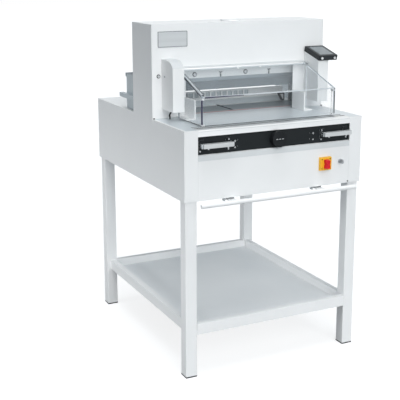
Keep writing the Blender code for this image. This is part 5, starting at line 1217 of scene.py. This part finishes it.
# Main switch
# A yellow moulded plate with a collar carries the red handle, which is
# waisted for the fingers and turns a quarter.
YELLOW = new_finish("yellow_plastic", (0.88, 0.47, 0.025), 0.4, specular=0.35)
tint(YELLOW, (0.84, 0.44, 0.02), (0.91, 0.50, 0.03), 90.0)
grain(YELLOW, 0.00006, 0.4, 900.0)
RED = new_finish("red_plastic", (0.66, 0.006, 0.016), 0.38, specular=0.35)
tint(RED, (0.62, 0.005, 0.014), (0.70, 0.008, 0.02), 90.0)
grain(RED, 0.00005, 0.4, 900.0)
COLLAR_RADIUS = 0.021
CORNER_INSET = 0.0075
WAIST_SHARE = 0.74
plate_low, plate_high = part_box("switch_plate")
plate_middle = (plate_low + plate_high) / 2
switch = start_block("switch_base", plate_low, plate_high)
take_faces(switch, FRONTWARDS)
bpy.ops.transform.resize(value=(0.93, 1, 0.93))
inset(0.004, (0, 0.001, 0))
fit(switch, "root", "yellow_plastic", YELLOW, 0.0022, "switch_plate", steps=3)
collar = start_rod("switch_collar", plate_middle + Vector((0, -0.0055, 0)),
                   plate_middle + Vector((0, -0.0064, 0)), COLLAR_RADIUS, 48)
take_faces(collar, FRONTWARDS)
inset(0.0015, (0, 0.0004, 0))
fit(collar, "root", "yellow_plastic", YELLOW, 0.0003)
for column, x in enumerate((plate_low.x + CORNER_INSET, plate_high.x - CORNER_INSET)):
    for row, z in enumerate((plate_low.z + CORNER_INSET, plate_high.z - CORNER_INSET)):
        add_screw("switch_screw_%d_%d" % (column, row), (x, plate_low.y + 0.0010, z), FRONTWARDS,
                  0.0025, finish=RUBBER, slot="black_rubber", height=0.3)
grip_low, grip_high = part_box("switch_handle")
grip = start_block("switch_grip", grip_low, (grip_high.x, plate_low.y - 0.0005, grip_high.z))
take_edges(grip, UP)
bpy.ops.mesh.subdivide(number_cuts=3)
take_edges(grip, BACKWARDS, lambda spot: abs(spot.z - (grip_low.z + grip_high.z) / 2) < 0.002)
bpy.ops.transform.resize(value=(WAIST_SHARE, 1, 1))
take_edges(grip, BACKWARDS, lambda spot: abs(spot.z - (grip_low.z + grip_high.z) / 2) > 0.015)
bevel(0.0035, 3)
take_faces(grip, FRONTWARDS)
bpy.ops.transform.resize(value=(0.80, 1, 0.90))
inset(0.0022, (0, 0.0012, 0))
fit(grip, "main_switch", "red_plastic", RED, 0.0010, "switch_handle")


# Key lock
# A plated cylinder lock stands in the front sheet with its key in it. Both turn
# a quarter together.
BARREL_RADIUS, BOW_RADIUS, BOW_REACH = 0.006, 0.0086, 0.0078
key_low, key_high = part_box("key_switch")
key_middle = (key_low + key_high) / 2
LOCK_FACE = FRONT - 0.0063
lock = start_rod("key_lock_barrel", (key_middle.x, FRONT + 0.0155, key_middle.z),
                 (key_middle.x, FRONT - 0.0003, key_middle.z), BARREL_RADIUS, 40)
take_faces(lock, FRONTWARDS)
pull((0, -0.0001, 0))
bpy.ops.transform.resize(value=(1.5, 1, 1.5))
pull((0, LOCK_FACE - FRONT + 0.0004, 0))
inset(0.002, (0, 0.0012, 0))
inset(0.0006, (0, -0.0012, 0))
fit(lock, "key_lock", "chrome", STEEL_SCREW, 0.0004, "key_switch")
key = start_block("lock_key", (key_middle.x - 0.0011, key_low.y, key_middle.z - 0.005),
                  (key_middle.x + 0.0011, LOCK_FACE + 0.002, key_middle.z + 0.005))
take_faces(key, FRONTWARDS)
inset(0.0002)
take_edges(key, RIGHT, lambda spot: spot.y < key_low.y + 0.0001)
bevel(0.0022, 3)
fit(key, "key_lock", "chrome", STEEL_SCREW, 0.0003)
bow = start_rod("lock_key_bow", (key_middle.x - 0.0013, key_low.y + BOW_REACH, key_middle.z),
                (key_middle.x + 0.0013, key_low.y + BOW_REACH, key_middle.z), BOW_RADIUS, 32)
take_ends(bow)
inset(0.0045)
bpy.ops.mesh.bridge_edge_loops()
fit(bow, "key_lock", "chrome", STEEL_SCREW, 0.0004)


# Display
# A black moulded case leans on the right post; a glass screen fills its top
# and two round white buttons stand in its front face.
CASE_BLACK = new_finish("case_plastic", (0.016, 0.020, 0.023), 0.45, specular=0.25)
tint(CASE_BLACK, (0.013, 0.017, 0.020), (0.020, 0.024, 0.027), 40.0)
grain(CASE_BLACK, 0.00008, 0.5, 1000.0)
SCREEN = new_finish("screen_glass", (0.15, 0.18, 0.20), 0.08)
tint(SCREEN, (0.12, 0.15, 0.165), (0.20, 0.225, 0.24), 9.0)
vary(SCREEN, 0.05, 0.12, 30.0)
dress("display_housing", "display_case", "root", "black_panel", CASE_BLACK, 0.0012)
case_low, case_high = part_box("display_case")
TILT = math.radians(15.3)
DISPLAY_HEIGHT = 1.1885
SCREEN_NEAR, SCREEN_FAR = 0.0135, 0.1005
display_along = Vector((0, -math.cos(TILT), -math.sin(TILT)))
display_up = Vector((0, -math.sin(TILT), math.cos(TILT)))
display_corner = Vector(((case_low.x + case_high.x) / 2, FRONT + NOTCH_DEPTH, DISPLAY_HEIGHT))
SCREEN_HALF = 0.0315
screen_near = display_corner + display_along * SCREEN_NEAR
screen_far = display_corner + display_along * SCREEN_FAR
screen_middle = (screen_near + screen_far) / 2 - display_up * 0.0006
glass = start_block("display_glass", (-SCREEN_HALF, -(screen_far - screen_near).length / 2, -0.0006),
                    (SCREEN_HALF, (screen_far - screen_near).length / 2, 0.0006))
bpy.ops.mesh.select_all(action="SELECT")
bpy.ops.transform.rotate(value=-TILT, orient_axis="X", center_override=(0, 0, 0))
bpy.ops.transform.translate(value=screen_middle)
take_faces(glass, display_up)
inset(0.0014, -display_up * 0.0003)
fit(glass, "root", "black_panel", SCREEN, 0.0002)
for side in ("left", "right"):
    node = "display_button_" + side
    button_low, button_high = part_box(node)
    middle = (button_low + button_high) / 2
    half = display_along * 0.00275
    button = start_rod("display_knob_" + side, middle - half, middle + half, 0.0045, 32)
    take_faces(button, display_along)
    inset(0.0012)
    inset(0.0008, -display_along * 0.0004)
    fit(button, side + "_button", "white_plastic", WHITE_PLASTIC, 0.0005, node)


# Hand bar
# A coated tube hangs under the front on two folded brackets, hinged to the
# chassis; pushing it down works the clamp by hand.
bar_low, bar_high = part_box("clamping_bar")
BAR_RADIUS = 0.0085
bar_middle_z = (bar_low.z + bar_high.z) / 2
bar_y = bar_low.y + BAR_RADIUS
hand_bar = start_rod("hand_bar_tube", (bar_low.x, bar_y, bar_middle_z),
                     (bar_high.x, bar_y, bar_middle_z), BAR_RADIUS, 48)
take_ends(hand_bar)
inset(0.002)
swell(-0.003)
fit(hand_bar, "hand_bar", "white_coat", WHITE_COAT, 0.0006, "clamping_bar")
BRACKET_X = 0.190
WING_HALF = 0.013
WING_FLARE = 48 / 26
KNUCKLE_HALF, KNUCKLE_RADIUS = 0.016, 0.0045
HINGE_Y = FRONT + 0.024
for side, sign in (("left", -1), ("right", 1)):
    x = sign * BRACKET_X
    wing = start_block("hand_bar_bracket_" + side, (x - WING_HALF, FRONT, bar_middle_z - 0.002),
                       (x + WING_HALF, HINGE_Y, bar_middle_z + 0.002))
    take_faces(wing, FRONTWARDS)
    pull((0, bar_y - FRONT, 0))
    bpy.ops.transform.resize(value=(WING_FLARE, 1, 1))
    fit(wing, "hand_bar", "white_coat", WHITE_COAT, 0.0008)
    knuckle = start_rod("hand_bar_knuckle_" + side, (x - KNUCKLE_HALF, HINGE_Y, bar_middle_z),
                        (x + KNUCKLE_HALF, HINGE_Y, bar_middle_z), KNUCKLE_RADIUS, 32)
    take_ends(knuckle)
    inset(0.0016)
    swell(0.0055)
    fit(knuckle, "hand_bar", "white_coat", WHITE_COAT, 0.0003)


bpy.context.view_layer.update()
